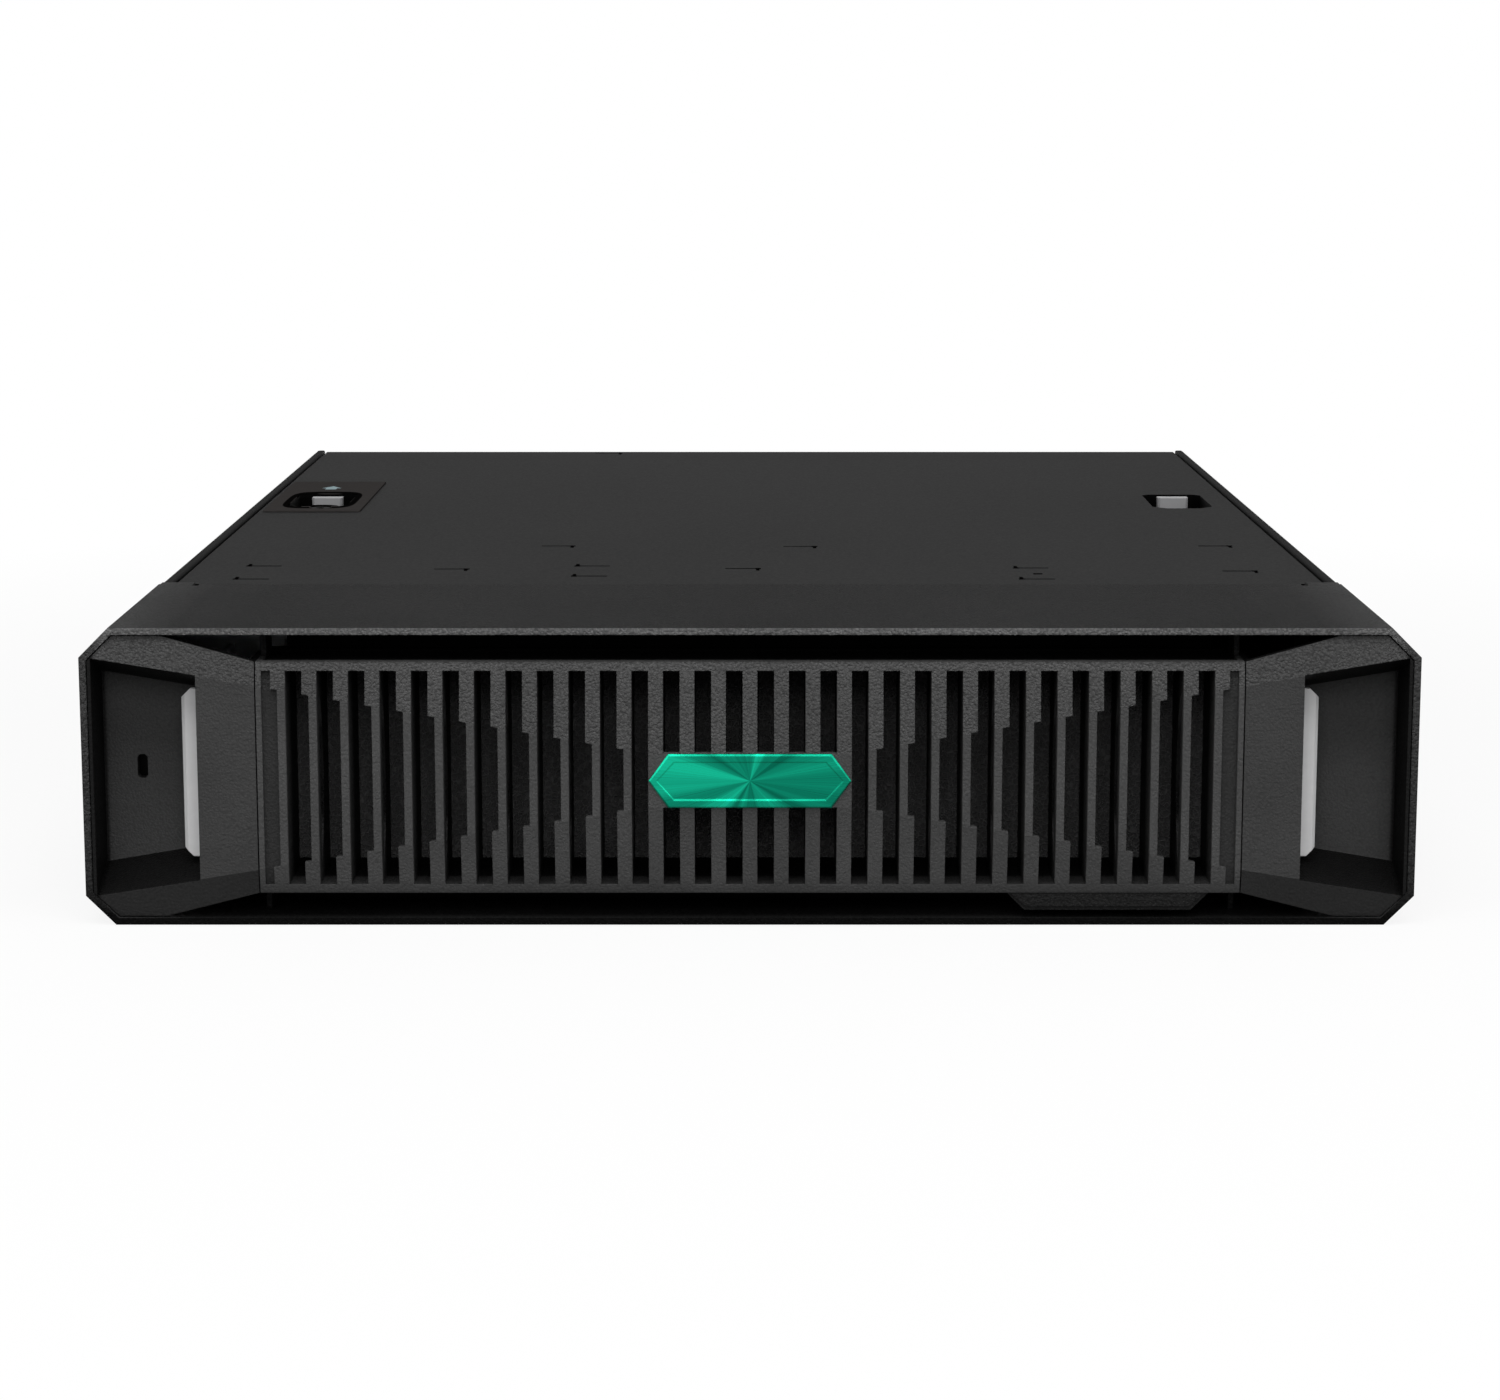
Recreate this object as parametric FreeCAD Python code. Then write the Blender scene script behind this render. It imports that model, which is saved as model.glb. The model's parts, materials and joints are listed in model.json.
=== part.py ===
"""Two-unit short-depth rack server with a deep ventilated front bezel.

Frame: X across the front, Y from front to rear, Z up, in millimetres. The origin is
on the surface that the server stands on, at the centre of its footprint. Every piece
is a node of its own; pieces of one kind that never move apart share a node.
"""

import FreeCAD, Part

import math
import os

V = FreeCAD.Vector

# ---------------------------------------------------------------- driving sizes
# Chassis
CHASSIS_W = 368.3
CHASSIS_H = 87.5
CHASSIS_DEPTH = 406.4
STEEL = 1.2             # chassis sheet
HEM_W = 3.6             # folded hem along the top of each side wall
BEND_R = 1.4
COVER_T = 1.0
COVER_DROP = 0.6        # the cover lies this far below the hems
COVER_GAP = 0.6         # groove between cover and hem
LIP_H = 2.2             # folded lip along each side of the cover
LEDGE_W = 6.0           # flange under the cover's edges
HOOK_DROP = 2.0         # how far the cover's hooks hang down

# Bezel
BEZEL_DEPTH = 90.4
BEZEL_WIDER = 8.75      # the bezel stands this far out past each side of the chassis
BEZEL_LIFT = 0.2        # running clearance under the bezel
BEZEL_CHAMFER = 8.6
SHELL = 2.0             # shroud wall
GROOVE = 0.35           # parting line between bezel mouldings
SKIN = 3.0              # thickness of the faceted front
HIP_RISE = 4.4          # the facets rise this far towards the badge
TAB_W = 10.5            # rear corners of the shroud that reach over the chassis
TAB_REACH = 4.0
RELIEF_W = 2.0
RELIEF_D = 3.3

# Grille
GRILLE_H = 68.0
SLAT_COUNT = 31
SLAT_MARGIN = 1.825     # from the grille's edge to the first whole slat's pitch
SLAT_W = 4.25
RIB_W = 2.3             # what is left of a slat between the creases
NOTCHED_SLATS = 12      # slats on each side that narrow to a rib
SLOT_H = 62.8
GRILLE_BORDER = 1.6
BLIND_DEPTH = 1.4       # depth of the closed slot at each end
FIN_DEPTH = 24.0
SCALLOP = 8.0           # how far every second fin is cut back at mid height

# Badge and name tab
BADGE_W = 58.4
BADGE_H = 15.8
BADGE_T = 0.8
TAB_PLATE_INSET = 38.2  # its middle, from the grille's right edge
TAB_PLATE_W = 58.8
TAB_PLATE_H = 5.2
TAB_PLATE_T = 1.6
TAB_PLATE_RAISE = 0.4

# Hand grips and the bezel's latches
GRIP_W = 50.8           # between the grille and the bezel's side
GRIP_SHOULDER_W = 23.1
POCKET_W = 33.5         # from the bezel's side to the pocket's inner edge
POCKET_SIDE_WALL = 0.95
POCKET_DEPTH = 18.0
POCKET_DRAFT = 6.4      # the pocket's top and bottom close in by this much
CUP_WALL = 2.0
FINGER_ROOM = 13.0      # space behind the grip's edge, where the paddle hides
PADDLE_H = 49.6
PADDLE_T = 2.6
PADDLE_AT = 7.6         # depth of the paddle's front face
PADDLE_SHOW = 5.6       # how far the paddle reaches past the grip's edge
LATCH_T = 2.2
LATCH_ARM_H = 20.0
LATCH_PIVOT_DEPTH = 50.0
LATCH_PIN_R = 1.0
RUN_FIT = 0.05          # radial running clearance of pins and shafts
CLEAR = 0.3             # clearance between pieces that move apart
LOCK_SLOT_W = 3.0
LOCK_SLOT_H = 7.0
LOCK_SLOT_INSET = 14.5  # from the bezel's side
EAR_REACH = 6.0
EAR_T = 1.5
EAR_H = 60.0
EAR_LEG = 30.0

# Intake filter
FILTER_T = 5.0
FILTER_FRAME_W = 5.0

# Power supplies
PSU_W = 73.5
CAGE_GAP = 1.1          # between the supplies' cage and the cover's hooks
PSU_L = 185.0
SHEET = 0.8             # cages
FLOOR_RAISE = 1.2       # lifts the lowest bays, so that what slides out clears the bezel's lower lip
HANDLE_REACH = 20.0
HANDLE_BAR = 3.6
HANDLE_T = 4.0
HANDLE_CORNER = 5.0
INLET_DEPTH = 16.0
PIN_SET_BACK = 6.0

# Drives
DRIVE_W = 73.6
DRIVE_H = 15.9
DRIVE_L = 112.0
DRIVE_COUNT = 2
CARRIER_RAIL = 2.4
LEVER_LENGTH = 44.0
LEVER_T = 3.0

# Expansion slots
SLOT_COUNT = 3
SLOT_MARGIN = 4.94      # above the upper slot's field
BRACKET_W = 120.0
BRACKET_GAP = 1.92      # between one slot's bracket and the next
BRACKET_T = 0.9
BRACKET_X = -98.0       # left end of the brackets
BRACKET_Z = 21.6

# Fans
FAN_COUNT = 4
FAN_GAP = 1.9           # between the fans and the cover's hooks
FAN_T = 38.0
FAN_PITCH = 88.0
FAN_RIM = 1.8           # housing left round the bore
HUB_R = 19.0
BLADE_COUNT = 7
TIP_GAP = 0.8
BLADE_T = 1.4
BLADE_CHORD = 24.0
BLADE_PITCH = 52.0
SHAFT_R = 1.5
HUB_SIDES = 14
BORE_SIDES = 28
HUB_PLATE_T = 4.0
WAIST_D = 0.9           # how far the housing's sides are set in between its flanges
WAIST_FLANGE = 5.0

# Fasteners
SCREW_R = 3.0
SCREW_HEAD = 1.6

# Main board
BOARD_T = 1.6
STANDOFF_H = 4.8
BOARD_X0 = -103.5
BOARD_X1 = 178.0
BOARD_FRONT = 2.0       # behind the chassis front
BOARD_WING = 124.0      # where the board widens behind the drives
BOARD_LENGTH = 338.0
CPU_X = 20.0
CPU_BACK = 256.0        # processor centre, behind the chassis front
SINK_W = 112.0
SINK_L = 88.0
SINK_H = 60.0
SINK_FINS = 23
SINK_FIN_T = 0.8
DIMM_L = 133.35
DIMM_H = 31.25
DIMM_PITCH = 10.0
DIMM_SEAT = 2.5         # a module's lower edge above the board
DIMM_PER_BANK = 3

# ---------------------------------------------------------------- derived places
TOTAL_DEPTH = BADGE_T + HIP_RISE + BEZEL_DEPTH + CHASSIS_DEPTH
RIM_Y = -TOTAL_DEPTH / 2 + BADGE_T + HIP_RISE
FRONT_Y = RIM_Y + BEZEL_DEPTH
REAR_Y = FRONT_Y + CHASSIS_DEPTH
MID_Z = CHASSIS_H / 2
HALF_W = CHASSIS_W / 2
BEZEL_W = CHASSIS_W + 2 * BEZEL_WIDER
GRILLE_W = BEZEL_W - 2 * GRIP_W
SLAT_PITCH = (GRILLE_W - 2 * SLAT_MARGIN) / SLAT_COUNT
POCKET_INNER_X = BEZEL_W / 2 - POCKET_W
GRIP_SHOULDER_X = BEZEL_W / 2 - GRIP_SHOULDER_W
LOCK_SLOT_X = BEZEL_W / 2 - LOCK_SLOT_INSET
TAB_PLATE_X = GRILLE_W / 2 - TAB_PLATE_INSET
IN_W = HALF_W - STEEL                   # inner face of the side walls
COVER_TOP = CHASSIS_H - COVER_DROP
COVER_UNDER = COVER_TOP - COVER_T
LEDGE_Z = COVER_UNDER - LIP_H - CLEAR   # top of the flange that the cover's lips stand on
HOOK_Z = COVER_UNDER - HOOK_DROP        # lower ends of the cover's hooks
BAY_Z = STEEL + SHEET + FLOOR_RAISE + CLEAR
PSU_H = (HOOK_Z - CAGE_GAP - BAY_Z - 2 * SHEET - 3 * CLEAR) / 2
FAN_BASE = STEEL + SHEET                # the fans stand on the bracket
FAN_SIZE = HOOK_Z - FAN_GAP - FAN_BASE
FAN_BORE_R = FAN_SIZE / 2 - FAN_RIM
SLOT_PITCH = (CHASSIS_H - SLOT_MARGIN - BRACKET_Z) / SLOT_COUNT
BRACKET_H = SLOT_PITCH - BRACKET_GAP
COVER_HALF = HALF_W - HEM_W - COVER_GAP
EDGE_X = BEZEL_W / 2 - SHELL            # inner face of the shroud's sides
BOARD_Z = STEEL + STANDOFF_H + BOARD_T  # top face of the board
PIVOT_X = HALF_W + 1.9


def depth(d):
    """Y of a plane d behind the bezel's rim."""
    return RIM_Y + d


def inside(d):
    """Y of a plane d behind the chassis front."""
    return FRONT_Y + d


# ---------------------------------------------------------------- shape helpers
def box(x0, x1, y0, y1, z0, z1):
    return Part.makeBox(x1 - x0, y1 - y0, z1 - z0, V(x0, y0, z0))


def rod(radius, start, direction, length):
    return Part.makeCylinder(radius, length, V(*start), V(*direction))


def prism(points, along):
    """Closed polygon of 3D points, extruded by a vector."""
    corners = [V(*p) for p in points]
    wire = Part.makePolygon(corners + corners[:1])
    return Part.Face(wire).extrude(V(*along))


def polygon(radius, sides=6):
    """Corners of a regular polygon, with that radius to its corners."""
    turns = [2 * math.pi * n / sides for n in range(sides)]
    return [(radius * math.cos(turn), radius * math.sin(turn)) for turn in turns]


def post(radius, x, y, z0, z1, sides=6):
    """Upright prism on a regular polygon."""
    return prism_xy([(x + a, y + b) for a, b in polygon(radius, sides)], z0, z1)


def prism_xz(points, y0, y1):
    return prism([(x, y0, z) for x, z in points], (0, y1 - y0, 0))


def prism_xy(points, z0, z1):
    return prism([(x, y, z0) for x, y in points], (0, 0, z1 - z0))


def prism_yz(points, x0, x1):
    return prism([(x0, y, z) for y, z in points], (x1 - x0, 0, 0))


def frustum(front, y_front, back, y_back):
    """Solid with flat sides between two XZ outlines whose edges are parallel."""
    first = [V(x, y_front, z) for x, z in front]
    last = [V(x, y_back, z) for x, z in back]
    walls = [first, last]
    for n in range(len(first)):
        walls.append([first[n - 1], first[n], last[n], last[n - 1]])
    faces = [Part.Face(Part.makePolygon(wall + wall[:1])) for wall in walls]
    solid = Part.Solid(Part.Shell(faces))
    if solid.Volume < 0:
        solid.reverse()
    return solid


def mirrored(shape):
    """The same shape on the other side of the middle plane."""
    return shape.mirror(V(0, 0, 0), V(1, 0, 0))


def joined(shapes):
    whole = shapes[0].multiFuse(shapes[1:]) if len(shapes) > 1 else shapes[0]
    return whole.removeSplitter()


def rounded(shape, radius, wanted):
    """Fillets the edges whose middle point the test accepts."""
    edges = [e for e in shape.Edges if wanted(e)]
    return shape.makeFillet(radius, edges) if edges else shape


def bevelled(shape, size, wanted):
    """Chamfers the edges whose middle point the test accepts."""
    edges = [e for e in shape.Edges if wanted(e)]
    return shape.makeChamfer(size, edges) if edges else shape


def upright(edge):
    """True for an edge along Z."""
    return abs(edge.tangentAt(edge.FirstParameter).z) > 0.999


def lengthwise(edge):
    """True for an edge along Y."""
    return abs(edge.tangentAt(edge.FirstParameter).y) > 0.999


def middle(edge):
    return edge.valueAt((edge.FirstParameter + edge.LastParameter) / 2)


def octagon(half, bottom, top, chamfer):
    return [
        (-half, bottom + chamfer), (-half, top - chamfer), (-half + chamfer, top), (half - chamfer, top),
        (half, top - chamfer), (half, bottom + chamfer), (half - chamfer, bottom), (-half + chamfer, bottom),
    ]


def save(name, *shapes):
    """Writes one node: its separate solids, side by side."""
    solids = [s for shape in shapes for s in shape.Solids]
    for number, solid in enumerate(solids):
        if not solid.isValid() or solid.Volume <= 0:
            print("bad solid", name, number)
    whole = solids[0] if len(solids) == 1 else Part.makeCompound(solids)
    whole.exportStep(os.path.join("parts", name + ".step"))
    print(f"{name}: {len(solids)} solid(s), {whole.Volume / 1000:.1f} cm3")


# ---------------------------------------------------------------- bezel
def crease(x):
    """Half height of the wedge between the creases, at distance x from the middle."""
    outer = CHASSIS_H / 2 - BEZEL_CHAMFER
    slope = (outer - BADGE_H / 2) / (EDGE_X - BADGE_W / 2)
    return BADGE_H / 2 + slope * (x - BADGE_W / 2)


def hip(back, shift=0.0):
    """Everything behind the faceted front, back to a plane, moved back by shift."""
    peak = RIM_Y - HIP_RISE
    block = box(-EDGE_X, EDGE_X, peak, depth(back), 0, CHASSIS_H)
    reach = 2 * SHELL                   # how far the planes run on past the rim
    run_x = EDGE_X - BADGE_W / 2
    run_z = crease(EDGE_X) - BADGE_H / 2
    side = [
        (BADGE_W / 2, peak), (EDGE_X + reach, RIM_Y + HIP_RISE * reach / run_x),
        (EDGE_X + reach, peak - SKIN), (BADGE_W / 2, peak - SKIN),
    ]
    top_z = CHASSIS_H + reach
    top_y = peak + HIP_RISE * (top_z - MID_Z - BADGE_H / 2) / run_z
    top = [
        (peak, MID_Z + BADGE_H / 2), (top_y, top_z),
        (peak - SKIN, top_z), (peak - SKIN, MID_Z + BADGE_H / 2),
    ]
    side_tool = prism_xy(side, -reach, CHASSIS_H + reach)
    top_tool = prism_yz(top, -BEZEL_W, BEZEL_W)
    low_tool = top_tool.mirror(V(0, 0, MID_Z), V(0, 0, 1))
    block = block.cut([side_tool, mirrored(side_tool), top_tool, low_tool])
    block.translate(V(0, shift, 0))
    return block


def facet_skin():
    return hip(POCKET_DEPTH).cut(hip(POCKET_DEPTH, SKIN))


def bezel_shroud():
    """Eight-sided tube, open at both ends, with corner tabs over the chassis."""
    outer = octagon(BEZEL_W / 2, BEZEL_LIFT, CHASSIS_H, BEZEL_CHAMFER)
    inner_chamfer = BEZEL_CHAMFER - SHELL * (2 - math.sqrt(2))
    inner = octagon(EDGE_X, BEZEL_LIFT + SHELL, CHASSIS_H - SHELL, inner_chamfer)
    tube = prism_xz(outer, RIM_Y, depth(BEZEL_DEPTH))
    tab_x = HALF_W - TAB_W
    tabs = []
    for side in (-1, 1):
        x0, x1 = sorted((side * tab_x, side * (HALF_W - CLEAR)))
        tabs.append(box(x0, x1, depth(BEZEL_DEPTH - SHELL), depth(BEZEL_DEPTH + TAB_REACH),
                        CHASSIS_H - COVER_T, CHASSIS_H))
    tube = joined([tube] + tabs)
    tools = [prism_xz(inner, RIM_Y - SHELL, depth(BEZEL_DEPTH + SHELL))]
    for side in (-1, 1):
        x0, x1 = sorted((side * (tab_x - RELIEF_W), side * tab_x))
        tools.append(box(x0, x1, depth(BEZEL_DEPTH - RELIEF_D), depth(BEZEL_DEPTH + SHELL),
                         CHASSIS_H - 2 * SHELL, CHASSIS_H + SHELL))
    shell = tube.cut(tools)
    lug_reach = EDGE_X - PIVOT_X + 2 * LATCH_PIN_R + SHELL / 2
    lugs = []
    for z in (MID_Z - LATCH_ARM_H / 2 - CLEAR - SHELL, MID_Z + LATCH_ARM_H / 2 + CLEAR):
        lugs.append(box(EDGE_X - lug_reach, EDGE_X, depth(LATCH_PIVOT_DEPTH - 4 * LATCH_PIN_R),
                        depth(LATCH_PIVOT_DEPTH + 4 * LATCH_PIN_R), z, z + SHELL))
    hole = rod(LATCH_PIN_R, (PIVOT_X, depth(LATCH_PIVOT_DEPTH), MID_Z), (0, 0, 1), LATCH_ARM_H)
    lugs[1] = lugs[1].cut(hole)         # the pin goes in from above and stands on the lower lug
    return joined([shell] + lugs + [mirrored(s) for s in lugs])


def slot_outline(number):
    """XZ outline of one slot on the left half, widened between the creases."""
    centre = (number - SLAT_COUNT // 2) * SLAT_PITCH      # slat on the slot's right
    right = centre - SLAT_W / 2
    left = right - (SLAT_PITCH - SLAT_W)
    if number == 0:
        left = -GRILLE_W / 2 + GRILLE_BORDER
    low, high = MID_Z - SLOT_H / 2, MID_Z + SLOT_H / 2
    if number >= NOTCHED_SLATS:
        return [(left, low), (right, low), (right, high), (left, high)]
    wide = right + SLAT_W - RIB_W
    return [
        (left, low), (right, low), (right, MID_Z - crease(-right)), (wide, MID_Z - crease(-wide)),
        (wide, MID_Z + crease(-wide)), (right, MID_Z + crease(-right)), (right, high), (left, high),
    ]


def fin(number):
    """Vertical vane behind one slat; every second one is cut back at mid height."""
    centre = (number - SLAT_COUNT // 2) * SLAT_PITCH
    right = centre + SLAT_W / 2
    half = SLOT_H / 2
    vane = box(right - RIB_W, right, depth(-HIP_RISE), depth(FIN_DEPTH), MID_Z - half, MID_Z + half)
    if number % 2 == 1 and number < NOTCHED_SLATS:
        arc_r = (half * half / 1.6 + SCALLOP * SCALLOP) / (2 * SCALLOP)
        gap = 2.0                       # strip left between slat and scallop
        start = depth(SKIN + gap + SCALLOP) - arc_r
        scallop = rod(arc_r, (right - 2 * RIB_W, start, MID_Z), (1, 0, 0), 4 * RIB_W)
        front = box(right - 2 * RIB_W, right + RIB_W, depth(-HIP_RISE), depth(SKIN + gap / 2),
                    MID_Z - half, MID_Z + half)
        vane = vane.cut(scallop.cut(front))
    return vane


def bezel_grille():
    """The faceted, slotted panel with its vanes, side flanges and corner gussets."""
    half_w, half_h = GRILLE_W / 2, GRILLE_H / 2
    region = box(-half_w, half_w, depth(-SKIN - HIP_RISE), depth(POCKET_DEPTH),
                 MID_Z - half_h, MID_Z + half_h)
    panel = facet_skin().common(region)
    slots = []
    front, back = depth(-2 * HIP_RISE), depth(POCKET_DEPTH)
    for number in range(1, SLAT_COUNT // 2 + 1):
        slot = prism_xz(slot_outline(number), front, back)
        slots += [slot, mirrored(slot)]
    pad = box(-BADGE_W / 2, BADGE_W / 2, front, back, MID_Z - BADGE_H / 2, MID_Z + BADGE_H / 2)
    slots = [s.cut(pad) for s in slots]
    panel = panel.cut(slots)
    behind = hip(POCKET_DEPTH).cut(hip(POCKET_DEPTH, BLIND_DEPTH))
    blind = prism_xz(slot_outline(0), front, back).common(behind)
    panel = panel.cut([blind, mirrored(blind)])
    behind = hip(POCKET_DEPTH + FIN_DEPTH, SKIN - CLEAR)
    vanes = [fin(n) for n in range(SLAT_COUNT // 2)]
    vanes += [mirrored(v) for v in vanes]
    vanes.append(fin(SLAT_COUNT // 2))
    flange = box(half_w - GRILLE_BORDER, half_w, depth(-HIP_RISE), depth(FIN_DEPTH),
                 MID_Z - half_h, MID_Z + half_h)
    rail = box(-half_w, half_w, depth(-HIP_RISE), depth(FIN_DEPTH),
               MID_Z + SLOT_H / 2, MID_Z + SLOT_H / 2 + GRILLE_BORDER)
    gusset = box(half_w - GRILLE_BORDER, half_w, depth(FIN_DEPTH / 2), depth(FIN_DEPTH),
                 MID_Z + half_h, CHASSIS_H - SHELL)
    low_gusset = box(half_w - GRILLE_BORDER, half_w, depth(FIN_DEPTH / 2), depth(FIN_DEPTH),
                     BEZEL_LIFT + SHELL, MID_Z - half_h)
    frame = [flange, mirrored(flange), rail, rail.mirror(V(0, 0, MID_Z), V(0, 0, 1))]
    ribs = [s.common(behind) for s in vanes + frame]
    return joined([panel] + ribs + [gusset, mirrored(gusset), low_gusset, mirrored(low_gusset)])


def badge_plate():
    """Plain six-sided plate on the flat pad in the middle of the grille."""
    half_w, half_h = BADGE_W / 2, BADGE_H / 2
    point = half_h * 0.62
    outline = [
        (-half_w, MID_Z), (-half_w + point, MID_Z + half_h), (half_w - point, MID_Z + half_h),
        (half_w, MID_Z), (half_w - point, MID_Z - half_h), (-half_w + point, MID_Z - half_h),
    ]
    back = depth(-HIP_RISE)
    return prism_xz(outline, back - BADGE_T, back)


def name_tab():
    """Blank tab with slanted ends, hung from the grille's lower edge."""
    top = MID_Z - GRILLE_H / 2
    left, right = TAB_PLATE_X - TAB_PLATE_W / 2, TAB_PLATE_X + TAB_PLATE_W / 2
    slant = TAB_PLATE_H

    def outline(inset):
        low = top - TAB_PLATE_H + inset
        return [
            (left + inset, top), (right - inset, top),
            (right - slant - inset / 2, low), (left + slant + inset / 2, low),
        ]

    base = prism_xz(outline(0), depth(TAB_PLATE_RAISE), depth(TAB_PLATE_RAISE + TAB_PLATE_T))
    face = prism_xz(outline(1.1), depth(0), depth(TAB_PLATE_RAISE))
    return joined([base, face])


def pocket(grow):
    """Tapered hollow of the right hand grip, grown by a wall thickness."""
    outer = EDGE_X - GROOVE - POCKET_SIDE_WALL + grow
    inner = POCKET_INNER_X - grow

    def outline(close, inner_x):
        high, low = crease(outer - grow) + grow - close, crease(POCKET_INNER_X) + grow - close
        return [(outer, MID_Z + high), (inner_x, MID_Z + low), (inner_x, MID_Z - low), (outer, MID_Z - high)]

    taper = POCKET_DRAFT / POCKET_DEPTH
    lead = 2 * HIP_RISE                 # the hollow runs out past the facets
    body = frustum(outline(-taper * lead, inner), depth(-lead), outline(POCKET_DRAFT, inner),
                   depth(POCKET_DEPTH + grow))
    room_half = PADDLE_H / 2 + 4 * CLEAR + grow
    room = box(POCKET_INNER_X - FINGER_ROOM - grow, POCKET_INNER_X + CLEAR,
               depth(SKIN - HIP_RISE / 2 if grow else SKIN), depth(POCKET_DEPTH + grow),
               MID_Z - room_half, MID_Z + room_half)
    return body, room


def hand_grip():
    """Right side: the faceted face around a pocket, with the pocket's cup behind it."""
    in_half = EDGE_X - GROOVE
    low, high = BEZEL_LIFT + SHELL + GROOVE, CHASSIS_H - SHELL - GROOVE
    chamfer = BEZEL_CHAMFER - (SHELL + GROOVE) * (2 - math.sqrt(2))
    grille_x = GRILLE_W / 2 + GROOVE
    outline = [
        (grille_x, MID_Z + GRILLE_H / 2), (GRIP_SHOULDER_X, high), (in_half - chamfer, high),
        (in_half, high - chamfer), (in_half, low + chamfer), (in_half - chamfer, low),
        (GRIP_SHOULDER_X, low), (grille_x, MID_Z - GRILLE_H / 2),
    ]
    area = prism_xz(outline, depth(-2 * HIP_RISE), depth(POCKET_DEPTH + CUP_WALL))
    face = facet_skin().common(area)
    side_wall = box(in_half - POCKET_SIDE_WALL, in_half, depth(0), depth(POCKET_DEPTH + CUP_WALL),
                    low + chamfer, high - chamfer).common(hip(POCKET_DEPTH + CUP_WALL))
    flange = box(grille_x, grille_x + GRILLE_BORDER, depth(-HIP_RISE), depth(POCKET_DEPTH + CUP_WALL),
                 MID_Z - GRILLE_H / 2, MID_Z + GRILLE_H / 2).common(hip(POCKET_DEPTH + CUP_WALL, CLEAR))
    cup, room = pocket(CUP_WALL)
    limit = area.common(hip(POCKET_DEPTH + CUP_WALL, SKIN / 2))
    cup, room = cup.common(limit), room.common(limit)
    hollow, reach = pocket(0)
    web_gap = box(POCKET_INNER_X - FINGER_ROOM, POCKET_INNER_X - FINGER_ROOM + 4 * LATCH_T,
                  depth(POCKET_DEPTH - SHELL), depth(POCKET_DEPTH + 2 * CUP_WALL),
                  MID_Z - LATCH_ARM_H / 2 - 1, MID_Z + LATCH_ARM_H / 2 + 1)
    return joined([face, side_wall, flange, cup, room]).cut([hollow, reach, web_gap])


def lock_slot(x, y0, y1):
    slot = box(x - LOCK_SLOT_W / 2, x + LOCK_SLOT_W / 2, y0, y1,
               MID_Z - LOCK_SLOT_H / 2, MID_Z + LOCK_SLOT_H / 2)
    return bevelled(slot, LOCK_SLOT_W / 4, lengthwise)


def left_grip():
    slot = lock_slot(-LOCK_SLOT_X, depth(POCKET_DEPTH - SHELL), depth(POCKET_DEPTH + 2 * CUP_WALL))
    return mirrored(hand_grip()).cut(slot)


def lock_plate():
    """Steel plate behind the left pocket that takes a cable lock."""
    back = depth(POCKET_DEPTH + CUP_WALL)
    plate = box(-LOCK_SLOT_X - 8, -LOCK_SLOT_X + 8, back, back + STEEL, MID_Z - 12, MID_Z + 12)
    return plate.cut(lock_slot(-LOCK_SLOT_X, back - STEEL, back + 2 * STEEL))


def bezel_latch():
    """Right side: finger paddle, web, cross bar and arm on a vertical pin."""
    tip = POCKET_INNER_X + PADDLE_SHOW
    root = POCKET_INNER_X - FINGER_ROOM + 5.0
    back = PADDLE_AT + PADDLE_T
    half = PADDLE_H / 2
    corner = 2.6
    face = [
        (root, MID_Z - half), (tip - corner, MID_Z - half), (tip, MID_Z - half + corner),
        (tip, MID_Z + half - corner), (tip - corner, MID_Z + half), (root, MID_Z + half),
    ]
    paddle = prism_xz(face, depth(PADDLE_AT), depth(back))
    paddle = bevelled(paddle, PADDLE_T / 2.6, lambda e: upright(e) and middle(e).x > tip - 0.1)
    bar_at = POCKET_DEPTH + CUP_WALL + STEEL + LATCH_T
    arm_x = PIVOT_X
    arm_end = BEZEL_DEPTH - CLEAR
    plan = [
        (root, depth(back - 0.5)), (root + LATCH_T, depth(back - 0.5)), (root + LATCH_T, depth(bar_at)),
        (arm_x + LATCH_T / 2, depth(bar_at)), (arm_x + LATCH_T / 2, depth(arm_end)),
        (arm_x - LATCH_T / 2, depth(arm_end)), (arm_x - LATCH_T / 2, depth(bar_at + LATCH_T)),
        (root, depth(bar_at + LATCH_T)),
    ]
    arm = prism_xy(plan, MID_Z - LATCH_ARM_H / 2, MID_Z + LATCH_ARM_H / 2)
    nose = box(arm_x - LATCH_T / 2, arm_x + LATCH_T / 2, depth(arm_end), depth(BEZEL_DEPTH + EAR_T),
               MID_Z - LATCH_ARM_H / 4, MID_Z + LATCH_ARM_H / 4)
    pivot = depth(LATCH_PIVOT_DEPTH)
    eye = post(LATCH_PIN_R + 1.6, PIVOT_X, pivot, MID_Z - LATCH_ARM_H / 2, MID_Z + LATCH_ARM_H / 2, 8)
    bore = rod(LATCH_PIN_R + RUN_FIT, (PIVOT_X, pivot, MID_Z - LATCH_ARM_H), (0, 0, 1), 2 * LATCH_ARM_H)
    return joined([paddle, arm, nose, eye]).cut(bore)


def latch_pin():
    low = MID_Z - LATCH_ARM_H / 2 - CLEAR
    return rod(LATCH_PIN_R, (PIVOT_X, depth(LATCH_PIVOT_DEPTH), low), (0, 0, 1),
               LATCH_ARM_H + 2 * CLEAR + SHELL)


def filter_frame():
    """Carrier clipped behind the vanes, with one middle bar."""
    y0 = depth(FIN_DEPTH)
    half_w, half_h = GRILLE_W / 2, GRILLE_H / 2
    outer = box(-half_w, half_w, y0, y0 + FILTER_T, MID_Z - half_h, MID_Z + half_h)
    window = box(-half_w + FILTER_FRAME_W, -FILTER_FRAME_W / 2, y0 - 1, y0 + FILTER_T + 1,
                 MID_Z - half_h + FILTER_FRAME_W, MID_Z + half_h - FILTER_FRAME_W)
    return outer.cut([window, mirrored(window)])


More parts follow.
